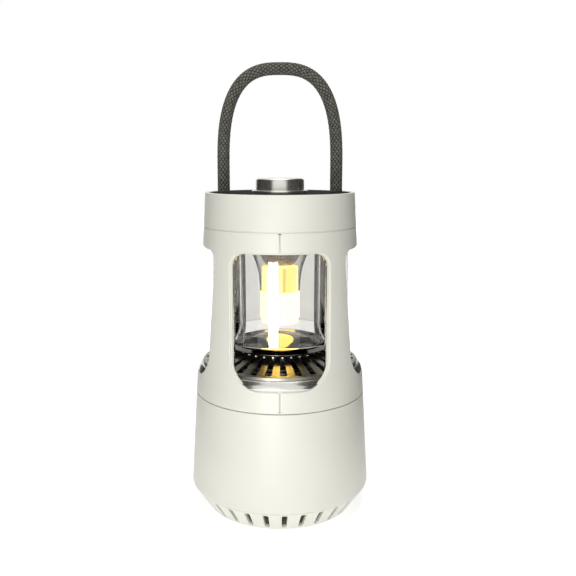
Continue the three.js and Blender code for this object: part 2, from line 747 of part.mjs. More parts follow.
// The tray lies on the cage's flange. Its four posts hold the control board above the high voltage module.
function electronicsTray() {
  const plate = disc(TRAY_RADIUS, CAGE_FLANGE_TOP + FIT, TRAY_TOP);
  const posts = inFourCorners(TRAY_POST).map((at) => post(1.6, TRAY_TOP - 1, BOARD_BOTTOM - FIT, at));
  const bossHoles = capScrewPlaces.map((at) => post(3.1 + FIT, 0, BODY_TOP, at));
  return cut(union(plate, ...posts), ...bossHoles);
}

function batteryCell([x, y]) {
  const cell = new THREE.CylinderGeometry(CELL_RADIUS, CELL_RADIUS, CELL_LENGTH, SMALL_ROUND);
  return solid(cell.rotateZ(Math.PI / 2).translate(x, y, TRAY_TOP + FIT + CELL_RADIUS));
}

// A hollow push button with a retaining flange, and a stem over the switch.
function powerButton() {
  const bore = BUTTON_RADIUS - BUTTON_WALL;
  const flangeTop = BEZEL_BOTTOM - FIT;
  const edge = 1.4;
  return turned([
    [0, STEM_BOTTOM],
    [STEM_RADIUS, STEM_BOTTOM],
    [STEM_RADIUS, BUTTON_TOP - BUTTON_CROWN],
    [bore, BUTTON_TOP - BUTTON_CROWN],
    [bore, BUTTON_FLANGE_BOTTOM],
    [BUTTON_FLANGE_RADIUS, BUTTON_FLANGE_BOTTOM],
    [BUTTON_FLANGE_RADIUS, flangeTop],
    [BUTTON_RADIUS, flangeTop],
    [BUTTON_RADIUS, BUTTON_TOP - edge],
    [BUTTON_RADIUS - edge, BUTTON_TOP],
    [0, BUTTON_TOP],
  ]);
}

// The switch top is just under the stem of the pressed button.
function tactSwitch() {
  return slab([3, 3], BOARD_TOP + FIT, STEM_BOTTOM - BUTTON_TRAVEL - 0.1);
}

class Helix extends THREE.Curve {
  constructor(radius, bottom, top, turns) {
    super();
    Object.assign(this, { radius, bottom, top, turns });
  }

  getPoint(t, target = new THREE.Vector3()) {
    const turn = 2 * Math.PI * this.turns * t;
    const height = THREE.MathUtils.lerp(this.bottom, this.top, t);
    return target.set(this.radius * Math.cos(turn), this.radius * Math.sin(turn), height);
  }
}

// A round bar along a curve.
function barAlong(curve, radius, sides, steps) {
  const section = new THREE.Shape();
  for (let i = 0; i < sides; i++) {
    const [x, y] = onCircle(radius, (360 * i) / sides);
    if (i) section.lineTo(x, y);
    else section.moveTo(x, y);
  }
  return solid(new THREE.ExtrudeGeometry(section, { steps, extrudePath: curve, bevelEnabled: false }));
}

// The spring stands on the control board, round the switch, and carries the crown of the button.
function buttonSpring() {
  const clearance = SPRING_WIRE + FIT + 0.1;
  const top = BUTTON_TOP - BUTTON_CROWN - clearance;
  const helix = new Helix(SPRING_RADIUS, BOARD_TOP + clearance, top, SPRING_TURNS);
  return barAlong(helix, SPRING_WIRE, 5, 10 * SPRING_TURNS);
}

add("cap_ring", capRing(), "cream");
add("top_plate", topPlate(), "charcoal");
add("button_bezel", hoop(BUTTON_RADIUS + FIT, BEZEL_RADIUS, BEZEL_BOTTOM, BEZEL_TOP), "chrome");
add("power_button", powerButton(), "chrome");
add("button_spring", buttonSpring(), "steel");
add("tact_switch", tactSwitch(), "blackPlastic");
add("control_board", slab(BOARD_HALF, BOARD_BOTTOM, BOARD_TOP), "board");
add("high_voltage_module", slab(MODULE_HALF, TRAY_TOP + FIT, MODULE_TOP), "blackPlastic");
add("electronics_tray", electronicsTray(), "blackPlastic");
addEach("battery_cell", [[0, -CELL_Y], [0, CELL_Y]], batteryCell, "cell");
add("charging_port", chargingPort(), "steel");
addEach("cap_screw", capScrewPlaces, capScrew, "steel");

// ---------------------------------------------------------------- rope handle

// Straight legs up to the spring line, then a squarish arch: half of a superellipse.
class HandleCurve extends THREE.Curve {
  getPoint(t, target = new THREE.Vector3()) {
    const fromEnd = Math.min(t, 1 - t) / ROPE_LEG_SHARE;
    const side = t < 0.5 ? -1 : 1;
    if (fromEnd < 1) {
      const height = THREE.MathUtils.lerp(ROPE_END, ROPE_SPRING_LINE, fromEnd);
      return target.set(side * ROPE_HALF_SPAN, 0, height);
    }
    const angle = (Math.PI * (t - ROPE_LEG_SHARE)) / (1 - 2 * ROPE_LEG_SHARE);
    const power = 2 / ROPE_ROUNDNESS;
    const x = side * Math.abs(Math.cos(angle)) ** power * ROPE_HALF_SPAN;
    const rise = Math.abs(Math.sin(angle)) ** power;
    return target.set(x, 0, THREE.MathUtils.lerp(ROPE_SPRING_LINE, ROPE_CROWN, rise));
  }
}

// A crimped sleeve on each end of the rope, under the top plate.
function ropeFerrule([x, y]) {
  const sleeve = hoop(ROPE_RADIUS + FIT, FERRULE_RADIUS, FERRULE_BOTTOM, PLATE_BOTTOM - FIT, SMALL_ROUND);
  return sleeve.translate([x, y, 0]);
}

add("rope_handle", barAlong(new HandleCurve(), ROPE_RADIUS, 10, 30), "rope");
addEach("rope_ferrule", ropeEnds, ropeFerrule, "steel");

export default zapper;
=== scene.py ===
from math import asin, atan, cos, pi, radians, sin, sqrt, tan
import bmesh
import bpy
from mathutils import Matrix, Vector


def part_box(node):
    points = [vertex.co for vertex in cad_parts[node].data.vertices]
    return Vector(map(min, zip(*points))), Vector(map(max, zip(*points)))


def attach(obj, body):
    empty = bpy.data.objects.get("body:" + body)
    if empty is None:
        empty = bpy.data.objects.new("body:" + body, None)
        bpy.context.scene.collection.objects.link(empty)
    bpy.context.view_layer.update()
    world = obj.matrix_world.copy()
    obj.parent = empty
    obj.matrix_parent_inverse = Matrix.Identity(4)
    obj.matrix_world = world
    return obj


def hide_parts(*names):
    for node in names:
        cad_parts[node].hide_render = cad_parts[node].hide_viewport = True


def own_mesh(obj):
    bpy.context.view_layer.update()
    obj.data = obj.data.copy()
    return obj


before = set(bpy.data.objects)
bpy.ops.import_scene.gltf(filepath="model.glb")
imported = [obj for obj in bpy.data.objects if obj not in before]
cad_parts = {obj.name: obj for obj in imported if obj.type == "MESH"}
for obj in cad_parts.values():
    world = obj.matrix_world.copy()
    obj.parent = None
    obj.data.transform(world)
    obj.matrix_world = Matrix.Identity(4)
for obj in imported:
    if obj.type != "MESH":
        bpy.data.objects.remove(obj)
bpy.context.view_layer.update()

# Shapes are in millimetres, in the row frame, and become metres in piece().
# The camera, the floor, the lights and the cards are in metres.
MM = 0.001

# Sides of a large circle and of a medium one.
FINE = 192
MEDIUM = 96

# Two points closer than this, in metres, are one.
SAME_POINT = 1e-7


def corners(node):
    """The lowest and highest corner of a CAD node, in millimetres."""
    low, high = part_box(node)
    return Vector(low) / MM, Vector(high) / MM


def round_size(node):
    """Radius, bottom and top of a round CAD node that is centred on the Z axis."""
    low, high = corners(node)
    return (high.y - low.y) / 2, low.z, high.z


def linked(name, data):
    made = bpy.data.objects.new(name, data)
    bpy.context.scene.collection.objects.link(made)
    return made


# ------ camera

CAMERA_PLACE = (0, -0.449, 0.2152)
CAMERA_PITCH = 9.75
CAMERA_LENS = 45.75
CAMERA_SENSOR = 36
CAMERA_SHIFT = 0.014
CLIP_START = 0.01

camera = linked("camera", bpy.data.cameras.new("camera"))
camera.location = CAMERA_PLACE
camera.rotation_euler = (radians(90 - CAMERA_PITCH), 0, 0)
camera.data.lens = CAMERA_LENS
camera.data.sensor_width = CAMERA_SENSOR
camera.data.shift_x = CAMERA_SHIFT
camera.data.clip_start = CLIP_START
bpy.context.scene.camera = camera

# ------ looks


class Look:
    """A material with one Principled shader, and short ways to build nodes onto it."""

    def __init__(self, name, color, roughness, **sockets):
        self.material = bpy.data.materials.new(name)
        self.material.use_nodes = True
        self.nodes = self.material.node_tree.nodes
        self.links = self.material.node_tree.links
        self.shader = self.nodes["Principled BSDF"]
        self.set("Base Color", (*color, 1))
        self.set("Roughness", roughness)
        for socket, value in sockets.items():
            self.set(socket.replace("_", " ").title(), value)

    def node(self, kind, settings=(), **inputs):
        """A new node. settings are its own properties, and inputs are its sockets."""
        made = self.nodes.new(kind)
        for key, value in dict(settings).items():
            setattr(made, key, value)
        for key, value in inputs.items():
            self.feed(made.inputs[key], value)
        return made

    def feed(self, socket, value):
        """Links an output to a socket, or sets a plain value on it."""
        if isinstance(value, bpy.types.NodeSocket):
            self.links.new(value, socket)
        else:
            socket.default_value = value

    def place(self, stretch=(1, 1, 1), source="Object"):
        """Texture coordinates, in metres, stretched along each axis."""
        coordinates = self.node("ShaderNodeTexCoord").outputs[source]
        return self.node("ShaderNodeMapping", Vector=coordinates, Scale=stretch).outputs[0]

    def noise(self, scale, detail=2.0, stretch=(1, 1, 1)):
        made = self.node("ShaderNodeTexNoise", Vector=self.place(stretch),
                         Scale=scale, Detail=detail)
        return made.outputs["Fac"]

    def spread(self, value, low, high, start=0.0, end=1.0):
        """The value, mapped from start to end onto low to high."""
        made = self.node("ShaderNodeMapRange")
        for index, number in enumerate((value, start, end, low, high)):
            self.feed(made.inputs[index], number)
        return made.outputs[0]

    def ramp(self, value, stops):
        """A colour for each value: stops are (position, colour) pairs."""
        made = self.node("ShaderNodeValToRGB", Fac=value)
        ramp = made.color_ramp
        while len(ramp.elements) < len(stops):
            ramp.elements.new(1)
        for element, (position, color) in zip(ramp.elements, stops):
            element.position = position
            element.color = (*color, 1)
        return made.outputs[0]

    def set(self, socket, value):
        self.feed(self.shader.inputs[socket], value)

    def mottled(self, scale, detail, dark, bright):
        """A base colour that drifts between two tones."""
        self.set("Base Color", self.ramp(self.noise(scale, detail), [(0.3, dark), (0.7, bright)]))

    def bump(self, height, strength, distance):
        made = self.node("ShaderNodeBump", Height=height, Strength=strength, Distance=distance)
        self.set("Normal", made.outputs[0])


def shade(color, factor):
    return tuple(channel * factor for channel in color)


def moulded(name, color, roughness, grain=2600, depth=0.00002, specular=0.5):
    """Moulded plastic: a very fine spark grain, and slight changes of tone and gloss."""
    look = Look(name, color, roughness)
    look.set("Specular IOR Level", specular)
    look.mottled(26, 3, shade(color, 0.975), shade(color, 1.02))
    look.set("Roughness", look.spread(look.noise(60, 3), roughness - 0.04, roughness + 0.05))
    look.bump(look.noise(grain, 2), 0.35, depth)
    return look.material


def plated(name, color, roughness, streak=(1, 1, 60), scale=30, spread=0.05):
    """Bright or satin metal: streaks of polish, faint smears and a hint of waviness."""
    look = Look(name, color, roughness, metallic=1.0)
    polish = look.noise(scale, 4, streak)
    look.mottled(40, 2, shade(color, 0.93), shade(color, 1.05))
    look.set("Roughness", look.spread(polish, max(0.02, roughness - spread), roughness + spread))
    look.bump(look.noise(180, 2, streak), 0.08, 0.00003)
    return look.material


def clear(name, tint, ior=1.5):
    """Clear glass or plastic, with the faintest haze."""
    haze = 0.01
    look = Look(name, tint, haze, transmission_weight=1.0)
    look.set("IOR", ior)
    look.set("Roughness", look.spread(look.noise(90, 2), haze, haze + 0.015, 0.45, 0.75))
    look.bump(look.noise(35, 1), 0.02, 0.0002)
    return look.material


def glowing(name, color, dark, bright, strength, stripes):
    """Lit plastic: fine upright stripes from dark to bright."""
    look = Look(name, shade(color, 0.3), 0.35)
    stripe = look.noise(stripes, 3, (1, 1, 0.02))
    glow = look.ramp(stripe, [(0.3, dark), (0.5, color), (0.68, bright)])
    look.set("Emission Color", glow)
    look.set("Emission Strength", strength)
    look.bump(stripe, 0.3, 0.0002)
    return look.material


def perforated(name, color):
    """Bright plating with rows of round holes, drawn as near-black dots of painted shade."""
    look = Look(name, color, 0.35, metallic=1.0)
    holes = look.node("ShaderNodeTexVoronoi", Vector=look.place(), Scale=520, Randomness=0.25)
    hole_shade = look.spread(holes.outputs["Distance"], 0.0, 1.0, 0.32, 0.42)
    # Painted shade: near-black dots stand for the dark inside of each hole.
    look.set("Base Color", look.ramp(hole_shade, [(0.0, (0.01, 0.01, 0.009)), (1.0, color)]))
    look.bump(hole_shade, 0.6, 0.0003)
    return look.material


def rubber(name, color):
    """Matt rubber with a fine pebble grain."""
    look = Look(name, color, 0.75)
    look.mottled(120, 3, shade(color, 0.8), shade(color, 1.4))
    look.bump(look.noise(1800, 3), 0.5, 0.00005)
    return look.material


def braided(name):
    """Braided cord: dark yarns, with a painted highlight where a strand comes to the top and
    painted shade where it dips under.
    """
    look = Look(name, (0.05, 0.05, 0.045), 0.9, sheen_weight=0.08, sheen_roughness=0.5)
    crown_light = look.node("ShaderNodeAttribute", {"attribute_name": "crown_light"})
    lift = look.node("ShaderNodeMath", {"operation": "MULTIPLY"})
    look.feed(lift.inputs[0], crown_light.outputs["Fac"])
    look.feed(lift.inputs[1], look.spread(look.noise(420, 2), 0.85, 1.1, 0.35, 0.65))
    # The ramp runs from painted shade on the strands' sunken sides to a painted highlight on their
    # tops, with a random change of tone.
    dark, pale = (0.009, 0.009, 0.008), (0.16, 0.153, 0.125)
    look.set("Base Color", look.ramp(lift.outputs[0], [(0.35, dark), (0.92, pale)]))
    yarns = look.node("ShaderNodeTexWave", {"bands_direction": "Y"},
                      Vector=look.place(source="UV"), Scale=3.2)
    look.bump(yarns.outputs["Fac"], 0.5, 0.0001)
    return look.material


def circuit(name, color):
    """Solder mask over copper tracks."""
    look = Look(name, color, 0.35)
    tracks = look.node("ShaderNodeTexBrick", Vector=look.place(), Scale=160)
    copper = shade(color, 2.2)
    look.set("Base Color", look.ramp(tracks.outputs["Fac"], [(0.4, color), (0.6, copper)]))
    look.bump(tracks.outputs["Fac"], 0.3, 0.00004)
    return look.material


GLASS_TINT = (0.862, 0.858, 0.844)

# One look for each of the record's material slots.
looks = {
    "cream_shell": moulded("cream_plastic", (0.74, 0.735, 0.655), 0.42),
    "charcoal_plastic": moulded(
        "charcoal_plastic", (0.022, 0.021, 0.018), 0.7, 1900, 0.00004, 0.01),
    "dark_mirror": plated("dark_plating", (0.19, 0.185, 0.165), 0.06, scale=18),
    "bright_plate": plated("bright_plating", (0.8, 0.785, 0.73), 0.25),
    "satin_silver": plated("satin_silver", (0.7, 0.69, 0.64), 0.2, (1, 1, 40), 60, 0.06),
    "clear_glass": clear("clear_glass", GLASS_TINT),
    "amber_plastic": glowing(
        "amber_glow", (0.97, 0.63, 0.17), (0.62, 0.3, 0.05), (1.15, 0.95, 0.5), 2.6, 420),
    "diffuser_plastic": glowing(
        "pale_glow", (1.0, 0.63, 0.12), (1.0, 0.6, 0.105), (1.0, 0.66, 0.135), 9.5, 60),
    "rope": braided("rope_braid"),
    "black_rubber": rubber("black_rubber", (0.03, 0.03, 0.03)),
    "steel": plated("brushed_steel", (0.5, 0.5, 0.49), 0.28, (1, 1, 30), 120, 0.08),
    "circuit_board": circuit("circuit_board", (0.015, 0.09, 0.035)),
    "black_plastic": moulded("black_plastic", (0.02, 0.02, 0.021), 0.45, 1500, 0.00005),
    "cell_jacket": moulded("cell_jacket", (0.03, 0.14, 0.4), 0.35, 700, 0.00003),
    "led_epoxy": moulded("led_epoxy", (0.35, 0.25, 0.8), 0.2, 600, 0.00002),
}

# Looks for single pieces. The inner glass bends light less, so that the lamp looks straight.
thin_glass = clear("thin_glass", GLASS_TINT, ior=1.13)
cone_plating = plated("cone_plating", (0.3, 0.29, 0.25), 0.3, scale=18)
perforated_plating = perforated("perforated_plating", (0.36, 0.35, 0.32))

# ------ meshes


def piece(name, points, faces, body, slot, replaced, smooth=True, look=None):
    """A mesh from points in millimetres. It rides on a body, and stands for the replaced nodes."""
    mesh = bpy.data.meshes.new(name)
    mesh.from_pydata([Vector(p) * MM for p in points], [], faces)
    tidy = bmesh.new()
    tidy.from_mesh(mesh)
    bmesh.ops.remove_doubles(tidy, verts=tidy.verts, dist=SAME_POINT)
    bmesh.ops.recalc_face_normals(tidy, faces=tidy.faces)
    tidy.to_mesh(mesh)
    tidy.free()
    mesh.polygons.foreach_set("use_smooth", [smooth] * len(mesh.polygons))
    made = linked(name, mesh)
    mesh.materials.append(look or looks[slot])
    if smooth:
        made.modifiers.new("even_normals", "WEIGHTED_NORMAL").keep_sharp = True
    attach(made, body)
    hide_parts(*replaced)
    return made


CORNER_STEPS = 5


def softened(profile):
    """The points of a profile of (radius, height, corner radius), with its corners rounded."""
    outline = []
    for i, (r, z, corner) in enumerate(profile):
        at = Vector((r, z))
        if not corner:
            outline.append(at)
            continue
        back = Vector(profile[i - 1][:2]) - at
        ahead = Vector(profile[(i + 1) % len(profile)][:2]) - at
        half = back.angle(ahead) / 2
        reach = min(corner / tan(half), back.length * 0.49, ahead.length * 0.49)
        middle = at + (back.normalized() + ahead.normalized()).normalized() * reach / cos(half)
        start = at + back.normalized() * reach - middle
        end = at + ahead.normalized() * reach - middle
        turn = start.angle(end)
        for step in range(CORNER_STEPS + 1):
            t = step / CORNER_STEPS
            mix = start * sin((1 - t) * turn) + end * sin(t * turn)
            outline.append(middle + mix / sin(turn))
    return outline


def lathed(profile, segments=FINE, middle=(0, 0)):
    """Points and faces of a solid of revolution. A profile from the axis ends on the axis."""
    outline = softened(profile)
    closed = outline[0].x > 0
    points, rings = [], []
    for r, z in outline:
        count = segments if r > 1e-6 else 1
        rings.append(range(len(points), len(points) + count))
        for k in range(count):
            angle = 2 * pi * k / segments
            points.append((middle[0] + r * cos(angle), middle[1] + r * sin(angle), z))
    faces = []
    for low, high in zip(rings, rings[1:] + (rings[:1] if closed else [])):
        for k in range(segments):
            following = (k + 1) % segments
            corner = [low[k % len(low)], low[following % len(low)],
                      high[following % len(high)], high[k % len(high)]]
            face = list(dict.fromkeys(corner))
            if len(face) > 2:
                faces.append(face)
    return points, faces


def joined(*parts):
    """Several parts, each its points and faces, as one."""
    points, faces = [], []
    for more_points, more_faces in parts:
        faces += [[index + len(points) for index in face] for face in more_faces]
        points += more_points
    return points, faces


def turned(name, profile, node, slot, look=None, segments=FINE):
    """A piece of the head that is one solid of revolution."""
    piece(name, *lathed(profile, segments), "head", slot, [node], look=look)


def tube_wall(inner, outer, bottom, top, corner):
    """A closed profile for a plain hoop with rounded edges."""
    return [(r, z, corner)
            for r, z in ((inner, bottom), (outer, bottom), (outer, top), (inner, top))]


def bar(start, end, width, height):
    """A level bar between two points, its section width by height."""
    start, end = Vector(start), Vector(end)
    along = (end - start).normalized()
    side = along.cross(Vector((0, 0, 1))).normalized() * width / 2
    up = side.cross(along).normalized() * height / 2
    points = []
    for at in (start, end):
        points += [at - side - up, at + side - up, at + side + up, at - side + up]
    faces = [[k, (k + 1) % 4, 4 + (k + 1) % 4, 4 + k] for k in range(4)]
    faces += [[3, 2, 1, 0], [4, 5, 6, 7]]
    return points, faces


class Net:
    """A flat net of quads, in unrolled (across, up) coordinates. Equal points are one point.

    A net with a period closes on itself after that distance across.
    """

    SHARPEST_MITER = 0.4

    def __init__(self, period=0):
        self.period = period
        self.points = []
        self.places = {}
        self.quads = []

    def point(self, across, up):
        """The index of the point there, which is added if it is new."""
        across = round(across, 3)
        if self.period:
            across = round(across % self.period, 3)
        key = (across, round(up, 3))
        if key not in self.places:
            self.places[key] = len(self.points)
            self.points.append((across, up))
        return self.places[key]

    def step(self, a, b):
        """The way from point a to point b, the short way round."""
        across = self.points[b][0] - self.points[a][0]
        if self.period:
            across = (across + self.period / 2) % self.period - self.period / 2
        return Vector((across, self.points[b][1] - self.points[a][1]))

    def rows(self, rows):
        """Quads between neighbouring rows of points, all facing the same way."""
        indices = [[self.point(*p) for p in row] for row in rows]
        for low, high in zip(indices, indices[1:]):
            for k in range(len(low) - 1):
                quad = list(dict.fromkeys([low[k], low[k + 1], high[k + 1], high[k]]))
                if len(quad) > 2:
                    self.quads.append(quad if self.area(quad) > 0 else quad[::-1])

    def area(self, quad):
        """Twice the quad's area, below zero where it faces backwards."""
        first, middle, last = (self.step(quad[0], quad[k]) for k in (1, 2, -1))
        return first.cross(middle) + middle.cross(last)

    def rim(self):
        """The border's edges, and at each border point the mitred direction out of the net."""
        edges = {(a, b) for quad in self.quads for a, b in zip(quad, quad[1:] + quad[:1])}
        border = [(a, b) for a, b in edges if (b, a) not in edges]
        sides = {}
        for a, b in border:
            along = self.step(a, b)
            out = Vector((along.y, -along.x)).normalized()
            sides.setdefault(a, []).append(out)
            sides.setdefault(b, []).append(out)
        miters = {}
        for index, outs in sides.items():
            one, two = outs[0], outs[-1]
            miters[index] = (one + two) / max(self.SHARPEST_MITER, 1 + one.dot(two))
        return border, miters


def shell(net, place, thickness, edge, steps=4):
    """A net as a closed shell with rounded edges. place(across, up, depth) is a point in space."""
    points = [place(x, y, 0) for x, y in net.points]
    inside = len(points)
    points += [place(x, y, thickness) for x, y in net.points]
    faces = net.quads + [[inside + i for i in reversed(quad)] for quad in net.quads]
    border, miters = net.rim()
    turns = [pi / 2 * k / steps for k in range(1, steps + 1)]
    levels = [(edge * sin(a), edge * (1 - cos(a))) for a in turns]
    levels += [(offset, thickness - depth) for offset, depth in reversed(levels)]
    columns = {}
    for index, out in miters.items():
        x, y = net.points[index]
        column = [index]
        for offset, depth in levels:
            column.append(len(points))
            points.append(place(x + out.x * offset, y + out.y * offset, depth))
        columns[index] = column + [inside + index]
    for a, b in border:
        for k in range(len(levels) + 1):
            faces.append([columns[b][k], columns[a][k], columns[a][k + 1], columns[b][k + 1]])
    return points, faces


# Places on the way from an opening's edge to the panel's border: closest at the edge.
SPREAD = (0, 0.03, 0.1, 0.25, 0.5, 0.75, 1)


class Opening:
    """Half of a rounded opening in a panel, from the middle of its head to the middle of its sill.

    halves are the half widths at the sill and the head. border, floor and ceiling are the
    panel's edges. The half begins at start, where nick rounds its free corners. A sill of None
    is open below. counts are the steps along head, corner, side, lower corner and sill.
    """

    def __init__(self, halves, sill, head, sill_corner, head_corner, border, floor, ceiling,
                 start=0, nick=0, unroll=lambda x, z: x, counts=(14, 12, 16, 16, 8)):
        self.rows = []
        low_half, high_half = halves
        for x in self.steps(start, high_half - head_corner, counts[0], nick):
            rise = self.notch(x - start, nick)
            self.row(unroll(x, head), head + rise, unroll(x, head), ceiling - rise)
        turn_x, turn_z = high_half - head_corner, head - head_corner
        for k in range(counts[1] + 1):
            angle = pi / 2 * (1 - k / counts[1])
            x, z = turn_x + head_corner * cos(angle), turn_z + head_corner * sin(angle)
            share = 2 * k / counts[1]
            across = unroll(turn_x, head) + (border - unroll(turn_x, head)) * min(share, 1)
            self.row(unroll(x, z), z, across, ceiling + (turn_z - ceiling) * max(share - 1, 0))
        low_z = floor if sill is None else sill + sill_corner
        for k in range(1, counts[2] + 1):
            t = k / counts[2]
            x, z = high_half + (low_half - high_half) * t, turn_z + (low_z - turn_z) * t
            self.row(unroll(x, z), z, border, z)
        if sill is None:
            return
        turn_x = low_half - sill_corner
        for k in range(1, counts[3] + 1):
            angle = -pi / 2 * k / counts[3]
            x, z = turn_x + sill_corner * cos(angle), low_z + sill_corner * sin(angle)
            share = 2 * k / counts[3]
            across = border + (unroll(turn_x, sill) - border) * max(share - 1, 0)
            self.row(unroll(x, z), z, across, low_z + (floor - low_z) * min(share, 1))
        for x in reversed(self.steps(start, turn_x, counts[4], nick)):
            drop = self.notch(x - start, nick)
            self.row(unroll(x, sill), sill - drop, unroll(x, sill), floor + drop)

    @staticmethod
    def steps(start, end, count, nick):
        """Places from start to end, close together at a rounded corner."""
        if end - start < 1e-6:
            return [start]
        turns = [pi / 2 * k / 5 for k in range(5)] if nick else []
        first = [start + nick * (1 - cos(turn)) for turn in turns]
        rest = end - start - nick
        return first + [start + nick + rest * k / count for k in range(count + 1)]

    @staticmethod
    def notch(inward, nick):
        """How much a free corner's rounding takes off, at a distance in from its edge."""
        if inward >= nick:
            return 0
        return nick - sqrt(nick ** 2 - (nick - inward) ** 2)

    def row(self, x, z, border_x, border_z):
        """Points from the opening's edge to the border."""
        self.rows.append([(x + (border_x - x) * t, z + (border_z - z) * t) for t in SPREAD])

    def lay(self, net, middle, side):
        """Adds this half to a net, on one side of a middle line."""
        net.rows([[(middle + side * x, z) for x, z in row] for row in self.rows])

    def lay_whole(self, net, middle):
        self.lay(net, middle, 1)
        self.lay(net, middle, -1)


def lofted(loops):
    """Points and faces through loops of equal length, capped at both ends."""
    count = len(loops[0])
    points = [point for loop in loops for point in loop]
    faces = []
    for i in range(len(loops) - 1):
        a, b = count * i, count * (i + 1)
        for k in range(count):
            n = (k + 1) % count
            faces.append([a + k, a + n, b + n, b + k])
    last = count * (len(loops) - 1)
    faces += [list(range(count))[::-1], [last + k for k in range(count)]]
    return points, faces


def at_angle(angle, radius, z):
    """A point at an angle from the front, -Y, turning towards +X."""
    return Vector((radius * sin(angle), -radius * cos(angle), z))


# ------ rope handle

# The route is the CAD handle's. STRAND_REACH is the braid's own radius, over its crowns.
STRAND_REACH = 3.82
ROPE_HALF_SPAN = 34.1
ROPE_END = 186.0
ROPE_SPRING_LINE = 212.0
ROPE_CROWN = 269.8
ROPE_ROUNDNESS = 2.75
ROPE_LEG_SHARE = 0.14
ROUTE_STEPS = 3000

# STRANDS wind each way, and cross after every CROSSING along the rope, WEAVE above or below.
STRANDS = 10
CROSSING = 1.55
STRAND_WIDTH = 0.86
STRAND_HEIGHT = 0.36
WEAVE = 0.26
STRAND_SIDES = 6
CORE_SIDES = 16
STEPS_PER_CROSSING = 4


def rope_point(t):
    """The same route as the CAD handle's: straight legs, then half of a superellipse."""
    from_end = min(t, 1 - t) / ROPE_LEG_SHARE
    side = -1 if t < 0.5 else 1
    if from_end < 1:
        rise = (ROPE_SPRING_LINE - ROPE_END) * from_end
        return Vector((side * ROPE_HALF_SPAN, 0, ROPE_END + rise))
    angle = pi * (t - ROPE_LEG_SHARE) / (1 - 2 * ROPE_LEG_SHARE)
    power = 2 / ROPE_ROUNDNESS
    x = side * abs(cos(angle)) ** power * ROPE_HALF_SPAN
    rise = (ROPE_CROWN - ROPE_SPRING_LINE) * abs(sin(angle)) ** power
    return Vector((x, 0, ROPE_SPRING_LINE + rise))


def evenly(route, count):
    """Count + 1 points spaced evenly along a route of close points, and the route's length."""
    lengths = [0.0]
    for a, b in zip(route, route[1:]):
        lengths.append(lengths[-1] + (b - a).length)
    total = lengths[-1]
    spaced = []
    k = 0
    for i in range(count + 1):
        wanted = total * i / count
        while k < len(lengths) - 2 and lengths[k + 1] < wanted:
            k += 1
        share = (wanted - lengths[k]) / (lengths[k + 1] - lengths[k])
        spaced.append(route[k].lerp(route[k + 1], share))
    return spaced, total


def strand(frames, number, way, middle):
    """One flat strand that winds round the rope, over and under those that wind the other way.

    Besides its loops, it gives each point's place for the yarns, and its painted light: high on the
    top of a strand that lies over, low where it lies under.
    """
    slope = pi / STRANDS / CROSSING * middle
    loops, marks, crown_lights = [], [], []
    for i, (at, along, front, side) in enumerate(frames):
        crossing = i / STEPS_PER_CROSSING
        angle = 2 * pi * number / STRANDS + way * pi * crossing / STRANDS
        over = way * cos(pi * crossing)
        out = front * cos(angle) + side * sin(angle)
        around = side * cos(angle) - front * sin(angle)
        flat = (around - along * (way * slope)).normalized()
        centre = at + out * (middle + WEAVE * over)
        loop = []
        for k in range(STRAND_SIDES):
            turn = 2 * pi * k / STRAND_SIDES
            across, height = STRAND_WIDTH * cos(turn), STRAND_HEIGHT * sin(turn)
            loop.append(centre + flat * across + out * height)
            marks.append((crossing, k / STRAND_SIDES))
            # Painted light: lighter on the strand's outer face and where it lies over, painted
            # shade where it lies under.
            crown_lights.append((0.5 + 0.5 * over) * (0.55 + 0.45 * sin(turn)))
        loops.append(loop)
    return loops, marks, crown_lights


def braided_rope():
    """Two sets of strands that wind opposite ways, braided round a plain core."""
    close_route = [rope_point(i / ROUTE_STEPS) for i in range(ROUTE_STEPS + 1)]
    length = evenly(close_route, 1)[1]
    count = round(length / CROSSING) * STEPS_PER_CROSSING
    route = evenly(close_route, count)[0]
    front = Vector((0, -1, 0))
    frames = []
    for i, at in enumerate(route):
        along = (route[min(i + 1, count)] - route[max(i - 1, 0)]).normalized()
        frames.append((at, along, front, along.cross(front).normalized()))
    middle = STRAND_REACH - STRAND_HEIGHT - WEAVE
    parts, marks, crown_lights = [], [], []
    for way in (1, -1):
        for number in range(STRANDS):
            loops, more_marks, more_crown_lights = strand(frames, number, way, middle)
            parts.append(lofted(loops))
            marks += more_marks
            crown_lights += more_crown_lights
    turns = [2 * pi * k / CORE_SIDES for k in range(CORE_SIDES)]
    radius = middle - WEAVE
    core = [[at + front * (radius * cos(t)) + side * (radius * sin(t)) for t in turns]
            for at, _, front, side in frames]
    parts.append(lofted(core))
    marks += [(0, 0)] * (CORE_SIDES * len(core))
    # The core is left in full painted shade.
    crown_lights += [0.0] * (CORE_SIDES * len(core))
    rope = piece("rope_handle_braid", *joined(*parts), "head", "rope", ["rope_handle"])
    # Each point's painted light, for the rope's material.
    rope.data.attributes.new("crown_light", "FLOAT", "POINT").data.foreach_set("value", crown_lights)
    layer = rope.data.uv_layers.new(name="UVMap")
    for loop in rope.data.loops:
        layer.data[loop.index].uv = marks[loop.vertex_index]
    path = [point * MM for point in route[::2 * STEPS_PER_CROSSING]] + [route[-1] * MM]
    tuple(path[0])


braided_rope()

# ------ drum, grille and feet

FOOT_RADIUS, DRUM_BOTTOM, DRUM_TOP = round_size("collection_drum")
CAP_RADIUS, CAP_BOTTOM, BODY_TOP = round_size("cap_ring")
FOOT_HEIGHT = DRUM_BOTTOM + 0.1
TAPER = (FOOT_RADIUS - CAP_RADIUS) / (CAP_BOTTOM - FOOT_HEIGHT)
DRUM_WALL = 2.4
DRUM_FLOOR_TOP = 17.6
OUTLET_RADIUS = 36
SCREEN_SEAT = 16.4
SCREEN_SEAT_RADIUS = 38
SEAL_SEAT = DRUM_TOP - 1.2
THIRDS = (90, 210, 330)
SCREW_CIRCLE = 41
PAD_CIRCLE = 36


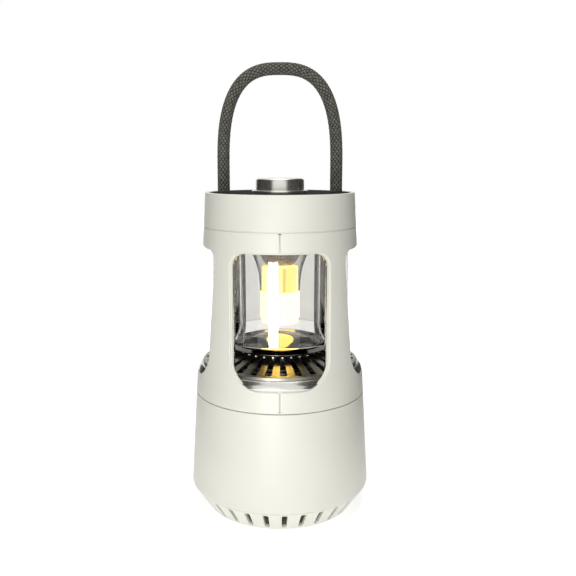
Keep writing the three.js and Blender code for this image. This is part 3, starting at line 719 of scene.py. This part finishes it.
def outer_radius(z):
    """The body's outside radius, which tapers evenly from the drum to the cap."""
    return FOOT_RADIUS - TAPER * (z - FOOT_HEIGHT)


def on_circle(radius, degrees):
    """X and Y at an angle from +X."""
    return radius * cos(radians(degrees)), radius * sin(radians(degrees))


def stud(profile, degrees, circle=SCREW_CIRCLE, sides=32):
    """A small solid of revolution on a circle round the middle of the object."""
    return lathed(profile, sides, on_circle(circle, degrees))


def drum():
    mouth = outer_radius(DRUM_TOP)
    wall = lathed([
        (OUTLET_RADIUS, DRUM_BOTTOM, 0.3), (FOOT_RADIUS - 0.4, DRUM_BOTTOM, 0.3),
        (FOOT_RADIUS, FOOT_HEIGHT + 1.2, 1.6), (mouth, DRUM_TOP, 0.45),
        (mouth - 1, DRUM_TOP, 0.2), (mouth - 1, SEAL_SEAT, 0.1),
        (outer_radius(SEAL_SEAT) - DRUM_WALL, SEAL_SEAT, 0.3),
        (outer_radius(DRUM_FLOOR_TOP) - DRUM_WALL, DRUM_FLOOR_TOP, 1.5),
        (SCREEN_SEAT_RADIUS, DRUM_FLOOR_TOP, 0.3), (SCREEN_SEAT_RADIUS, SCREEN_SEAT, 0.1),
        (OUTLET_RADIUS, SCREEN_SEAT, 0.2),
    ])
    foot, top = DRUM_BOTTOM + 1, 23
    post = [(0, foot, 0), (3.4, foot, 0), (3.3, top, 0.5), (0, top, 0)]
    posts = [stud(post, turn) for turn in THIRDS]
    piece("drum_shell", *joined(wall, *posts), "base", "cream_shell", ["collection_drum"])
    outer = mouth - 1.3
    seal = lathed(tube_wall(outer - 0.7, outer, SEAL_SEAT + 0.3, DRUM_TOP + 0.3, 0.25))
    piece("drum_gasket", *seal, "base", "black_rubber", ["drum_seal"])


def grille():
    """The slotted foot ring. Its net's across runs round the middle of the wall, and up is Z."""
    top_radius, bottom, _ = round_size("bottom_grille")
    base_radius = 45.6
    top = DRUM_BOTTOM - 0.6
    floor_top = 2.3
    slots, slot_turn, edge = 30, 3, 0.3
    middle = (top_radius + base_radius) / 2
    slope = (top_radius - base_radius) / (top - bottom)
    lean = atan(slope)

    def place(across, z, depth):
        radius = base_radius + slope * (z - bottom) - depth * cos(lean)
        return at_angle(across / middle, radius, z + depth * sin(lean))

    net = Net(2 * pi * middle)
    half = 1.55 + edge
    opening = Opening((half, half), 2.5 - edge, 13.2 + edge, 1.2, 1.2, pi * middle / slots,
                      bottom + 0.6, top - edge, counts=(2, 6, 5, 6, 2))
    for k in range(slots):
        turn = radians(slot_turn + 360 * k / slots) * middle
        opening.lay_whole(net, turn)
    wall = shell(net, place, 2.3, edge, 3)
    floor = lathed([
        (0, bottom, 0), (base_radius - 0.6, bottom, 0.4), (base_radius + slope, bottom + 1.2, 0.1),
        (base_radius - 1.6, floor_top, 0.3), (0, floor_top, 0),
    ])
    boss = [(0, 1.5, 0), (3.6, 1.5, 0), (3.6, 14.5, 0.4), (0, 14.5, 0)]
    bosses = [stud(boss, turn) for turn in THIRDS]
    piece("grille_ring", *joined(wall, floor, *bosses), "base", "cream_shell", ["bottom_grille"])


def feet():
    """The rubber pads, and the screws that hold the grille."""
    pad = [(0, 0, 0), (4.9, 0, 0.35), (4.9, 1.1, 0.1), (0, 1.1, 0)]
    for k, turn in enumerate((45, 135, 225, 315), 1):
        body = stud(pad, turn, PAD_CIRCLE, 64)
        piece(f"foot_pad_{k}", *body, "base", "black_rubber", [f"foot_{k}"])
    screw = [(0, 1.5, 0), (0.9, 1.5, 0.1), (1.2, 0.9, 0.1), (2.8, 0.9, 0.4), (2.8, 2.3, 0.1),
             (1.4, 2.3, 0.1), (1.4, 20.5, 0.2), (0.9, 21, 0.1), (0, 21, 0)]
    for k, turn in enumerate(THIRDS, 1):
        body = stud(screw, turn)
        piece(f"grille_screw_body_{k}", *body, "base", "steel", [f"grille_screw_{k}"])


def screen():
    """Crossed wires in a hoop. The wires across lie over the wires along."""
    radius, bottom, top = round_size("insect_screen")
    wires = [lathed(tube_wall(radius - 2.4, radius, bottom, top, 0.2))]
    pitch, wire, rows_each_side = 2.4, 0.5, 14
    lift = (top - bottom) / 4
    for k in range(-rows_each_side, rows_each_side + 1):
        at = k * pitch
        reach = sqrt((radius - 1.5) ** 2 - at ** 2)
        wires.append(bar((at, -reach, bottom + lift), (at, reach, bottom + lift), wire, wire))
        wires.append(bar((-reach, at, top - lift), (reach, at, top - lift), wire, wire))
    piece("screen_mesh", *joined(*wires), "base", "steel", ["insect_screen"], smooth=False)


drum()
grille()
feet()
screen()

# ------ cage, inner frame and silver ring

# The cage's nets are unrolled onto a circle of this radius.
UNROLLED = 49.0
QUARTER = pi / 2 * UNROLLED
WINDOW_HALF_WIDTH = 28.5
WINDOW_SILL = 86.6
WINDOW_HEAD = 165.2
WINDOW_TOP_CORNER = 8
WINDOW_SILL_CORNER = 16.5
CAGE_BOTTOM = corners("cage_left")[0].z
CAGE_TOP = CAP_BOTTOM - 0.6
CAGE_WALL = 2
CAGE_EDGE = 0.55
HALF_JOINT = 0.2
JOINT_NICK = 1.2
REVEAL = 0.75


def window(inset, edge, floor, ceiling, start=0, nick=0, open_below=False):
    """Half of a cage window. The wall's rounded edge closes it in by the edge's width."""
    half = WINDOW_HALF_WIDTH - inset + edge
    sill = None if open_below else WINDOW_SILL + inset - edge
    return Opening((half, half), sill, WINDOW_HEAD - inset + edge,
                   WINDOW_SILL_CORNER - inset + edge, WINDOW_TOP_CORNER - inset + edge,
                   QUARTER / 2, floor, ceiling, start, nick,
                   lambda x, z: asin(x / outer_radius(z)) * UNROLLED)


def swept(profile, start, end, segments):
    """A closed profile of (radius, height, corner radius) turned through part of a circle."""
    outline = softened(profile)
    turns = [start + (end - start) * k / segments for k in range(segments + 1)]
    return lofted([[at_angle(turn, r, z) for r, z in outline] for turn in turns])


def half_net(split, whole):
    """A net of half the cage, with half windows at the joints and a whole one between them."""
    net = Net()
    for opening, middle, side in ((split, 0, 1), (whole, QUARTER, -1), (whole, QUARTER, 1),
                                  (split, 2 * QUARTER, -1)):
        opening.lay(net, middle, side)
    return net


def reveal(place):
    """The thin step round each window, just behind its rounded edge, which also backs the joint."""
    edge, depth = 0.15, 0.95
    floor, ceiling = CAGE_BOTTOM + 1, CAGE_TOP - 1
    opening = window(REVEAL, edge, floor, ceiling)
    net = half_net(opening, opening)
    return shell(net, lambda x, z, inward: place(x, z, depth + inward), CAGE_WALL - depth, edge, 2)


def cage_half(name, side):
    """One half shell of the cage, on the -X or the +X side, from the front joint to the back."""

    def place(across, z, depth):
        return at_angle(side * across / UNROLLED, outer_radius(z) - depth, z)

    floor, ceiling = CAGE_BOTTOM + CAGE_EDGE, CAGE_TOP - CAGE_EDGE
    split = window(0, CAGE_EDGE, floor, ceiling, HALF_JOINT + CAGE_EDGE, JOINT_NICK)
    whole = window(0, CAGE_EDGE, floor, ceiling)
    wall = shell(half_net(split, whole), place, CAGE_WALL, CAGE_EDGE)
    step = reveal(place)
    lips = []
    start = 0.0005
    for z in (CAGE_BOTTOM, CAGE_TOP):
        profile = tube_wall(outer_radius(z) - 1.05, outer_radius(z) - 0.6, z - 0.35, z + 0.75, 0.05)
        lips.append(swept(profile, side * start, side * (pi - start), MEDIUM))
    start, top = 0.01, 173
    profile = tube_wall(29, outer_radius(top) - 1.5, top - 2.3, top, 0.2)
    flange = swept(profile, side * start, side * (pi - start), MEDIUM)
    piece(f"{name}_shell", *joined(wall, step, *lips, flange), "head", "cream_shell", [name])


def leg_lining(turn, bottom, top):
    """The hollow inner face of one leg of the frame, from window to window."""
    half_window, hollow, thickness = 25.9, 1.9, 0.5
    levels, half_columns = 24, 8
    shares = [k / half_columns - 1 for k in range(2 * half_columns + 1)]
    loops = []
    for level in range(levels + 1):
        z = bottom + (top - bottom) * level / levels
        edge_radius = outer_radius(z) - 3.5
        reach = pi / 4 - asin(half_window / edge_radius)
        inner = [(reach * u, edge_radius + hollow * (1 - u * u)) for u in shares]
        outer = [(angle, r + thickness) for angle, r in reversed(inner)]
        loops.append([at_angle(turn + angle, r, z) for angle, r in inner + outer])
    return lofted(loops)


def frame_sleeve():
    """The bright frame inside the cage, open below each window, with its hollow legs."""
    low, high = corners("inner_frame")
    edge = 0.3
    back = CAGE_WALL + 0.3
    net = Net(4 * QUARTER)
    opening = window(0.8, edge, low.z + edge, high.z - edge, open_below=True)
    for k in range(4):
        opening.lay_whole(net, k * QUARTER)

    def place(across, z, depth):
        return at_angle(across / UNROLLED, outer_radius(z) - back - depth, z)

    linings = [leg_lining((k + 0.5) * pi / 2, low.z, high.z) for k in range(4)]
    sleeve = shell(net, place, 1.6, edge)
    piece("frame_sleeve", *joined(sleeve, *linings), "head", "dark_mirror", ["inner_frame"])


def lip_patch(turn):
    """The part of the silver ring's lip in one window, cut to the window's rounded sill."""
    gap = 0.35
    profile = softened([(47.5, 87, 0.1), (51.2, 87, 0.4), (51.4, 88.2, 1.5), (50.8, 90.2, 3),
                        (49.2, 92.2, 0.6), (47.5, 92.2, 0.1)])
    corner = WINDOW_SILL_CORNER - gap
    columns = 48
    loops = []
    for k in range(columns + 1):
        share = 2 * k / columns - 1
        loop = []
        for r, z in profile:
            below = max(WINDOW_SILL + gap + corner - z, 0)
            half = WINDOW_HALF_WIDTH - gap - corner + sqrt(max(corner ** 2 - below ** 2, 0))
            loop.append(at_angle(turn + asin(share * half / r), r, z))
        loops.append(loop)
    return lofted(loops)


def silver_ring():
    core = lathed([
        (46.3, 85, 0.2), (49.4, 85, 0.3), (49.4, 91.9, 0.5),
        (48.3, 92.6, 0.2), (48.3, 90.7, 0.1), (46.3, 90.7, 0.2),
    ])
    lips = [lip_patch(k * pi / 2) for k in range(4)]
    piece("foot_ring", *joined(core, *lips), "head", "satin_silver", ["silver_ring"])


cage_half("cage_left", -1)
cage_half("cage_right", 1)
frame_sleeve()
silver_ring()

# ------ cone, dish, glass and lamp

CONE_APEX = 109.3
CONE_SLOPE = 0.3146
CONE_SLOTS = 32
CONE_SLOT_TURN = -87.3
LAMP_FOOT = 136.9
LAMP_TOP = 167.7


def cone():
    """The slotted cone. Its net's across runs round a circle, and up is the radius."""
    circle, edge = 40.0, 0.12
    net = Net(2 * pi * circle)
    opening = Opening((1 + edge, 2.07 + edge), 26.9 - edge, 46 + edge, 0.8, 0.9,
                      pi / CONE_SLOTS * circle, 25.8, 47.6, unroll=lambda x, r: x / r * circle,
                      counts=(2, 5, 16, 5, 2))
    for k in range(CONE_SLOTS):
        turn = radians(90 + CONE_SLOT_TURN + 360 * k / CONE_SLOTS) * circle
        opening.lay_whole(net, turn)

    def place(across, r, depth):
        return at_angle(across / circle, r, CONE_APEX - CONE_SLOPE * r - depth)

    sheet = shell(net, place, 1.5, edge, 3)
    hub_top = CONE_APEX - CONE_SLOPE * 26.4
    hub = lathed([(0, hub_top - 1.6, 0), (26, hub_top - 1.6, 0.2), (26, hub_top - 0.4, 0.2),
                  (0, hub_top - 0.4, 0)])
    rim = lathed(tube_wall(46.3, 48, 91, CONE_APEX - CONE_SLOPE * 48, 0.3))
    piece("cone_sheet", *joined(sheet, hub, rim), "head", "dark_mirror", ["intake_cone"],
          look=cone_plating)


def dome(radius, bottom):
    """A profile over a shallow dome, from its edge to its top on the axis."""
    full_turn = radians(34)
    steps = 12
    points = []
    for k in range(steps, -1, -1):
        turn = k * full_turn / steps
        rise = radius / sin(full_turn) * (cos(turn) - cos(full_turn))
        points.append((radius * sin(turn) / sin(full_turn), bottom + rise, 0))
    return points


def glass_and_lamp():
    base = 101.3
    turned("dish_plating", [
        (0, base, 0), (25.2, base, 0.4), (27, base + 0.8, 0.8),
        (32, 102.7, 0.2), (32.2, 103.3, 0.2), (27.4, 105.9, 0.5),
        (26.6, 106.1, 0.3), (25.4, 103.9, 0.8), (23.8, base + 1.8, 0.8),
        *dome(23, base + 1.9),
    ], "reflector_dish", "dark_mirror")
    turned("chimney_glass", [
        (27.4, 106.3, 0.2), (29.9, 105, 0.4), (27, 110.4, 5), (25.7, 115, 9),
        (25.7, LAMP_TOP, 0.4), (24.4, LAMP_TOP, 0.4), (24.4, 115, 9), (25.5, 110.4, 5),
    ], "glass_chimney", "clear_glass", thin_glass)
    turned("shade_glass", tube_wall(40.9, 42.3, 109.5, LAMP_TOP, 0.5), "glass_shade", "clear_glass")
    turned("horn_guide", [
        (11.5, LAMP_FOOT, 0.2), (12.3, LAMP_FOOT, 0.2), (13.2, 147.5, 20), (14.9, 154.1, 20),
        (16.7, 158.9, 20), (21.6, LAMP_TOP, 0.4), (20, LAMP_TOP, 0.4), (15.2, 158.9, 20),
        (13.4, 154.1, 20), (11.7, 147.5, 20),
    ], "light_guide_horn", "clear_glass")
    turned("amber_tube", tube_wall(9.9, 11.2, LAMP_FOOT, 152, 0.4), "amber_sleeve", "amber_plastic")
    turned("reflector_cup", [
        (7.6, 153.4, 0.3), (8.8, 153.4, 0.3), (12.8, 160, 12),
        (16.4, LAMP_TOP, 0.2), (15.2, LAMP_TOP, 0.2), (11.6, 160, 12),
    ], "led_reflector", "dark_mirror", perforated_plating)
    turned("diffuser_tube", [
        (0, 119.7, 0), (12, 119.7, 1), (12, 136.6, 0.8),
        (10.8, 136.6, 0.3), (10.8, 121.2, 0.6), (0, 121.2, 0),
    ], "lamp_diffuser", "diffuser_plastic")
    turned("diffuser_disc", [
        (0, 117, 0), (11.3, 117, 0.5), (11.3, 118.4, 0.5),
        (2.5, 118.4, 0.3), (2.5, 119.4, 0.1), (0, 119.4, 0),
    ], "diffuser_end_cap", "diffuser_plastic")
    turned("ceiling_disc", [
        (10.5, 168, 0.4), (44.2, 168, 0.4), (44.2, 170.4, 0.4), (10.5, 170.4, 0.2),
    ], "ceiling_plate", "charcoal_plastic")


cone()
glass_and_lamp()

# ------ electrodes and fan

DUCT_TOP = 88.5
BLADES = 7


def electrode(name, radii, bottom, bar_bottom, direction):
    """Charged rings, and the bar that joins them and runs out to the frame on one side."""
    wires = [lathed(tube_wall(r - 0.5, r + 0.5, bottom, bottom + 1.3, 0.45), MEDIUM)
             for r in radii]
    start, end = direction * (radii[0] - 0.5), direction * 39.2
    wires.append(bar((start, 0, bar_bottom + 0.5), (end, 0, bar_bottom + 0.5), 2, 1))
    piece(f"{name}_wire", *joined(*wires), "head", "steel", [name])


def duct():
    wall = lathed(tube_wall(42.4, 44.7, 66, DUCT_TOP, 0.6))
    flange = lathed(tube_wall(44.2, 50, 75, 77.6, 0.4))
    cup = lathed(tube_wall(12.6, 14.6, 82, 91, 0.4), MEDIUM)
    arms = []
    for turn in THIRDS:
        inner, outer = on_circle(13.6, turn), on_circle(43, turn)
        arms.append(bar((*inner, 85.5), (*outer, 85.5), 5, 3))
    piece("fan_duct", *joined(wall, flange, cup, *arms), "head", "black_plastic", ["fan_housing"])
    turned("electrode_hoop", tube_wall(39.5, 44.4, DUCT_TOP + 0.3, 92.2, 0.5),
           "electrode_frame", "black_plastic")
    turned("motor_can", [(0, 80.4, 0), (12.3, 80.4, 0.8), (12.3, 96, 1.2), (0, 96, 0)],
           "fan_motor", "steel", segments=MEDIUM)


def blade(turn):
    """A twisted blade: narrow and steep at the hub, broad and flat at the tip."""
    root, tip, height = 10, 41.2, 74.8
    thickness, edge, half_chord = 1.4, 0.6, 8
    root_pitch, tip_pitch = 48, 26
    steps, half_steps = 12, 4
    net = Net()
    rows = []
    for i in range(steps + 1):
        along = edge + (tip - root - 2 * edge) * i / steps
        rows.append([(along, (half_chord - edge) * (k / half_steps - 1))
                     for k in range(2 * half_steps + 1)])
    net.rows(rows)

    def place(along, chord, depth):
        share = along / (tip - root)
        pitch = radians(root_pitch + (tip_pitch - root_pitch) * share)
        x = chord * (0.62 + 0.38 * share)
        y = thickness / 2 - depth
        across = x * cos(pitch) - y * sin(pitch)
        up = x * sin(pitch) + y * cos(pitch)
        radius = root + along
        c, s = cos(turn), sin(turn)
        return Vector((radius * c - across * s, radius * s + across * c, up + height))

    return shell(net, place, thickness, edge, 3)


def impeller():
    hub = lathed([
        (0, 69.6, 0), (9, 69.6, 0.6), (11, 71.2, 1.5), (11, 79.6, 0.5), (8.6, 79.6, 0.4),
        (8.6, 73, 0.6), (2.6, 73, 0.4), (2.6, 76, 0.3), (0, 76, 0),
    ], MEDIUM)
    blades = [blade(2 * pi * k / BLADES) for k in range(BLADES)]
    piece("impeller_rotor", *joined(hub, *blades), "impeller", "black_plastic", ["fan_impeller"])


electrode("electrode_live", (20, 28, 36), 90, 89.1, 1)
electrode("electrode_ground", (24, 32), 90.6, 91.7, -1)
duct()
impeller()

# ------ cap, top plate and button

PLATE_RADIUS, _, PLATE_TOP = round_size("top_plate")
PLATE_BOTTOM = 194.9
PORT_HEIGHT = 186.0


def cap():
    """The cap band, with the port's mouth at the back."""
    edge, wall = 0.45, 2.4
    low, high = CAP_BOTTOM + edge, BODY_TOP - edge
    net = Net(4 * QUARTER)
    border = 12.0
    half_width, half_height = 4.9, 2
    mouth = Opening((half_width + edge, half_width + edge), PORT_HEIGHT - half_height - edge,
                    PORT_HEIGHT + half_height + edge, 1, 1, border, low, high,
                    counts=(4, 4, 3, 4, 4))
    mouth.lay_whole(net, 2 * QUARTER)
    heights = sorted({z for row in mouth.rows for x, z in row[-1:] if x == border})
    across = [border + (4 * QUARTER - 2 * border) * k / FINE for k in range(FINE + 1)]
    net.rows([[(2 * QUARTER + x, z) for x in across] for z in heights])

    def place(along, z, depth):
        return at_angle(along / UNROLLED, outer_radius(z) - depth, z)

    ledge = PLATE_BOTTOM - 0.3
    inside = outer_radius(ledge) - wall
    shelf = lathed([(40, ledge, 0.2), (inside + 1, ledge, 0.1), (inside + 0.5, ledge - 4.7, 0.1),
                    (40, ledge - 2, 0.2)])
    band = shell(net, place, wall, edge)
    piece("cap_band", *joined(band, shelf), "head", "cream_shell", ["cap_ring"])


def rounded_box(half_x, half_z, corner, y):
    """A loop round a box with rounded corners, in a plane across Y, centred on the port."""
    steps = 6
    loop = []
    for quarter in range(4):
        x = (half_x - corner) * (1, -1, -1, 1)[quarter]
        z = (half_z - corner) * (1, 1, -1, -1)[quarter]
        for k in range(steps + 1):
            turn = pi / 2 * (quarter + k / steps)
            across, up = corner * cos(turn), corner * sin(turn)
            loop.append(Vector((x + across, y, PORT_HEIGHT + z + up)))
    return loop


def port():
    rings = ((4.6, 1.7, 1.5, 38.2), (4.6, 1.7, 1.5, 45.2), (4.4, 1.5, 1.3, 45.4),
             (4.2, 1.3, 1.1, 45.2), (4.2, 1.3, 1.1, 39.6))
    can = lofted([rounded_box(*ring) for ring in rings])
    tongue = lofted([rounded_box(3.3, 0.35, 0.2, y) for y in (39.5, 44.6)])
    piece("port_can", *joined(can, tongue), "head", "steel", ["charging_port"])


def plate_and_button():
    plate_hole = 17.3
    turned("plate_disc", [
        (plate_hole, PLATE_BOTTOM, 0.2), (PLATE_RADIUS, PLATE_BOTTOM, 0.3),
        (PLATE_RADIUS, PLATE_TOP, 0.5), (plate_hole, PLATE_TOP, 0.3),
    ], "top_plate", "charcoal_plastic")
    turned("button_collar", tube_wall(15.1, 17, 193.1, 198.6, 0.5), "button_bezel", "bright_plate")
    button = lathed([
        (0, 190.9, 0), (2.4, 190.9, 0.2), (2.4, 203.9, 0.3), (13.2, 203.9, 0.3), (13.2, 191, 0.2),
        (16.3, 191, 0.2), (16.3, 192.8, 0.2), (14.8, 192.8, 0.1), (14.8, 205.9, 1.9), (0, 205.9, 0),
    ])
    piece("button_cap", *button, "button", "bright_plate", ["power_button"])


# The spring's wire is round, and SPRING_WIRE is its radius.
SPRING_TURNS = 4
SPRING_WIRE = 0.5
SPRING_SIDES = 10
STEPS_PER_TURN = 36


def coil_spring():
    """The spring under the button."""
    low, high = corners("button_spring")
    bottom, top = low[2] + SPRING_WIRE, high[2] - SPRING_WIRE
    radius = round_size("button_spring")[0] - SPRING_WIRE
    steps = STEPS_PER_TURN * SPRING_TURNS
    turns = [2 * pi * side / SPRING_SIDES for side in range(SPRING_SIDES)]
    section = [(SPRING_WIRE * cos(a), SPRING_WIRE * sin(a)) for a in turns]
    loops = []
    for k in range(steps + 1):
        turn = 2 * pi * SPRING_TURNS * k / steps
        z = bottom + (top - bottom) * k / steps
        loops.append([at_angle(turn, radius + out, z + up) for out, up in section])
    made = piece("press_spring", *lofted(loops), "head", "steel", ["button_spring"])
    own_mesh(made)


cap()
port()
plate_and_button()
coil_spring()

# ------ pieces kept from the CAD

KEPT = {
    "steel": ["motor_shaft", "rope_ferrule_1", "rope_ferrule_2",
              *(f"{part}_screw_{k}" for part in ("housing", "cap") for k in range(1, 5))],
    "black_plastic": ["tact_switch", "high_voltage_module", "electronics_tray"],
    "circuit_board": ["led_board", "control_board"],
    "cell_jacket": ["battery_cell_1", "battery_cell_2"],
    "led_epoxy": [f"uv_led_{k}" for k in range(1, 5)],
}
for slot, nodes in KEPT.items():
    for node in nodes:
        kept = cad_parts[node]
        kept.data.materials.clear()
        kept.data.materials.append(looks[slot])

# ------ floor, light and background


def staged(name, points, faces, material):
    """A plain surface, in metres, that isn't part of the object."""
    mesh = bpy.data.meshes.new(name)
    mesh.from_pydata(points, [], faces)
    made = linked(name, mesh)
    mesh.materials.append(material)
    return made


def hide_from(made, *rays):
    for kind in rays:
        setattr(made, f"visible_{kind}", False)


def area_light(name, place, aim, size, power, mirrored=True):
    """A rectangular lamp that points at a place. mirrored lets it show in reflections."""
    data = bpy.data.lights.new(name, "AREA")
    data.shape = "RECTANGLE"
    data.size, data.size_y = size
    data.energy = power
    lamp = linked(name, data)
    lamp.location = place
    lamp.rotation_euler = (Vector(aim) - Vector(place)).to_track_quat("-Z", "Y").to_euler()
    hide_from(lamp, "camera", "transmission", *(() if mirrored else ("glossy",)))
    return lamp


def floor_look():
    """A pale floor with a glow of its own, so that it stays white next to the object."""
    look = Look("pale_floor", (0.5, 0.5, 0.495), 0.9)
    look.mottled(3, 2, (0.495, 0.495, 0.49), (0.505, 0.505, 0.5))
    look.set("Emission Color", (1, 1, 1, 1))
    look.set("Emission Strength", 0.7)
    return look.material


FLOOR_HALF = 3.0
square = [(x * FLOOR_HALF, y * FLOOR_HALF, 0) for x, y in ((-1, -1), (1, -1), (1, 1), (-1, 1))]
staged("floor", square, [[0, 1, 2, 3]], floor_look())

world = bpy.data.worlds.new("studio")
bpy.context.scene.world = world
world.use_nodes = True
background = world.node_tree.nodes["Background"]
background.inputs["Color"].default_value = (1, 1, 1, 1)
background.inputs["Strength"].default_value = 1.0

# The strip shows only in reflections: it is the long highlight on the glass. The key lights the
# front, and shows in no reflection.
AIM = (0, 0, 0.1)
strip = area_light("front_strip", (-0.07, -0.4, 0.063), AIM, (0.11, 0.095), 0.8)
hide_from(strip, "diffuse")
area_light("front_key", (-0.22, -0.75, 0.35), AIM, (0.35, 0.5), 0.75, mirrored=False)

sun_data = bpy.data.lights.new("overhead", "SUN")
sun_data.energy = 0.9
sun_data.angle = radians(40)
linked("overhead", sun_data)


def card_look():
    look = Look("grey_card", (0.05, 0.05, 0.05), 1.0)
    look.mottled(4, 2, (0.045, 0.045, 0.045), (0.055, 0.055, 0.055))
    return look.material


def card(name, x, front, back, height):
    """An upright dark card beside the object. It darkens the body's side, and isn't seen."""
    outline = [(x, front, 0), (x, back, 0), (x, back, height), (x, front, height)]
    made = staged(name, outline, [[0, 1, 2, 3]], card_look())
    hide_from(made, "camera", "transmission", "shadow")


def reflected_card(name, start, end):
    """A curved dark card that shows only in reflections. It runs between angles in degrees."""
    radius, height, steps = 0.28, 0.5, 24
    turns = [radians(start + (end - start) * k / steps) for k in range(steps + 1)]
    points = [at_angle(turn, radius, z) for z in (0.002, height) for turn in turns]
    faces = [[k, k + 1, steps + k + 2, steps + k + 1] for k in range(steps)]
    made = staged(name, points, faces, card_look())
    hide_from(made, "camera", "diffuse", "transmission", "shadow")


reflected_card("card_front_left", -72, -34)
reflected_card("card_front_right", 30, 68)
card("card_left", -0.22, -0.14, 0.3, 0.42)
card("card_right", 0.17, -0.16, 0.35, 0.5)

bpy.context.scene.view_settings.view_transform = "Standard"
bpy.context.scene.view_settings.look = "None"
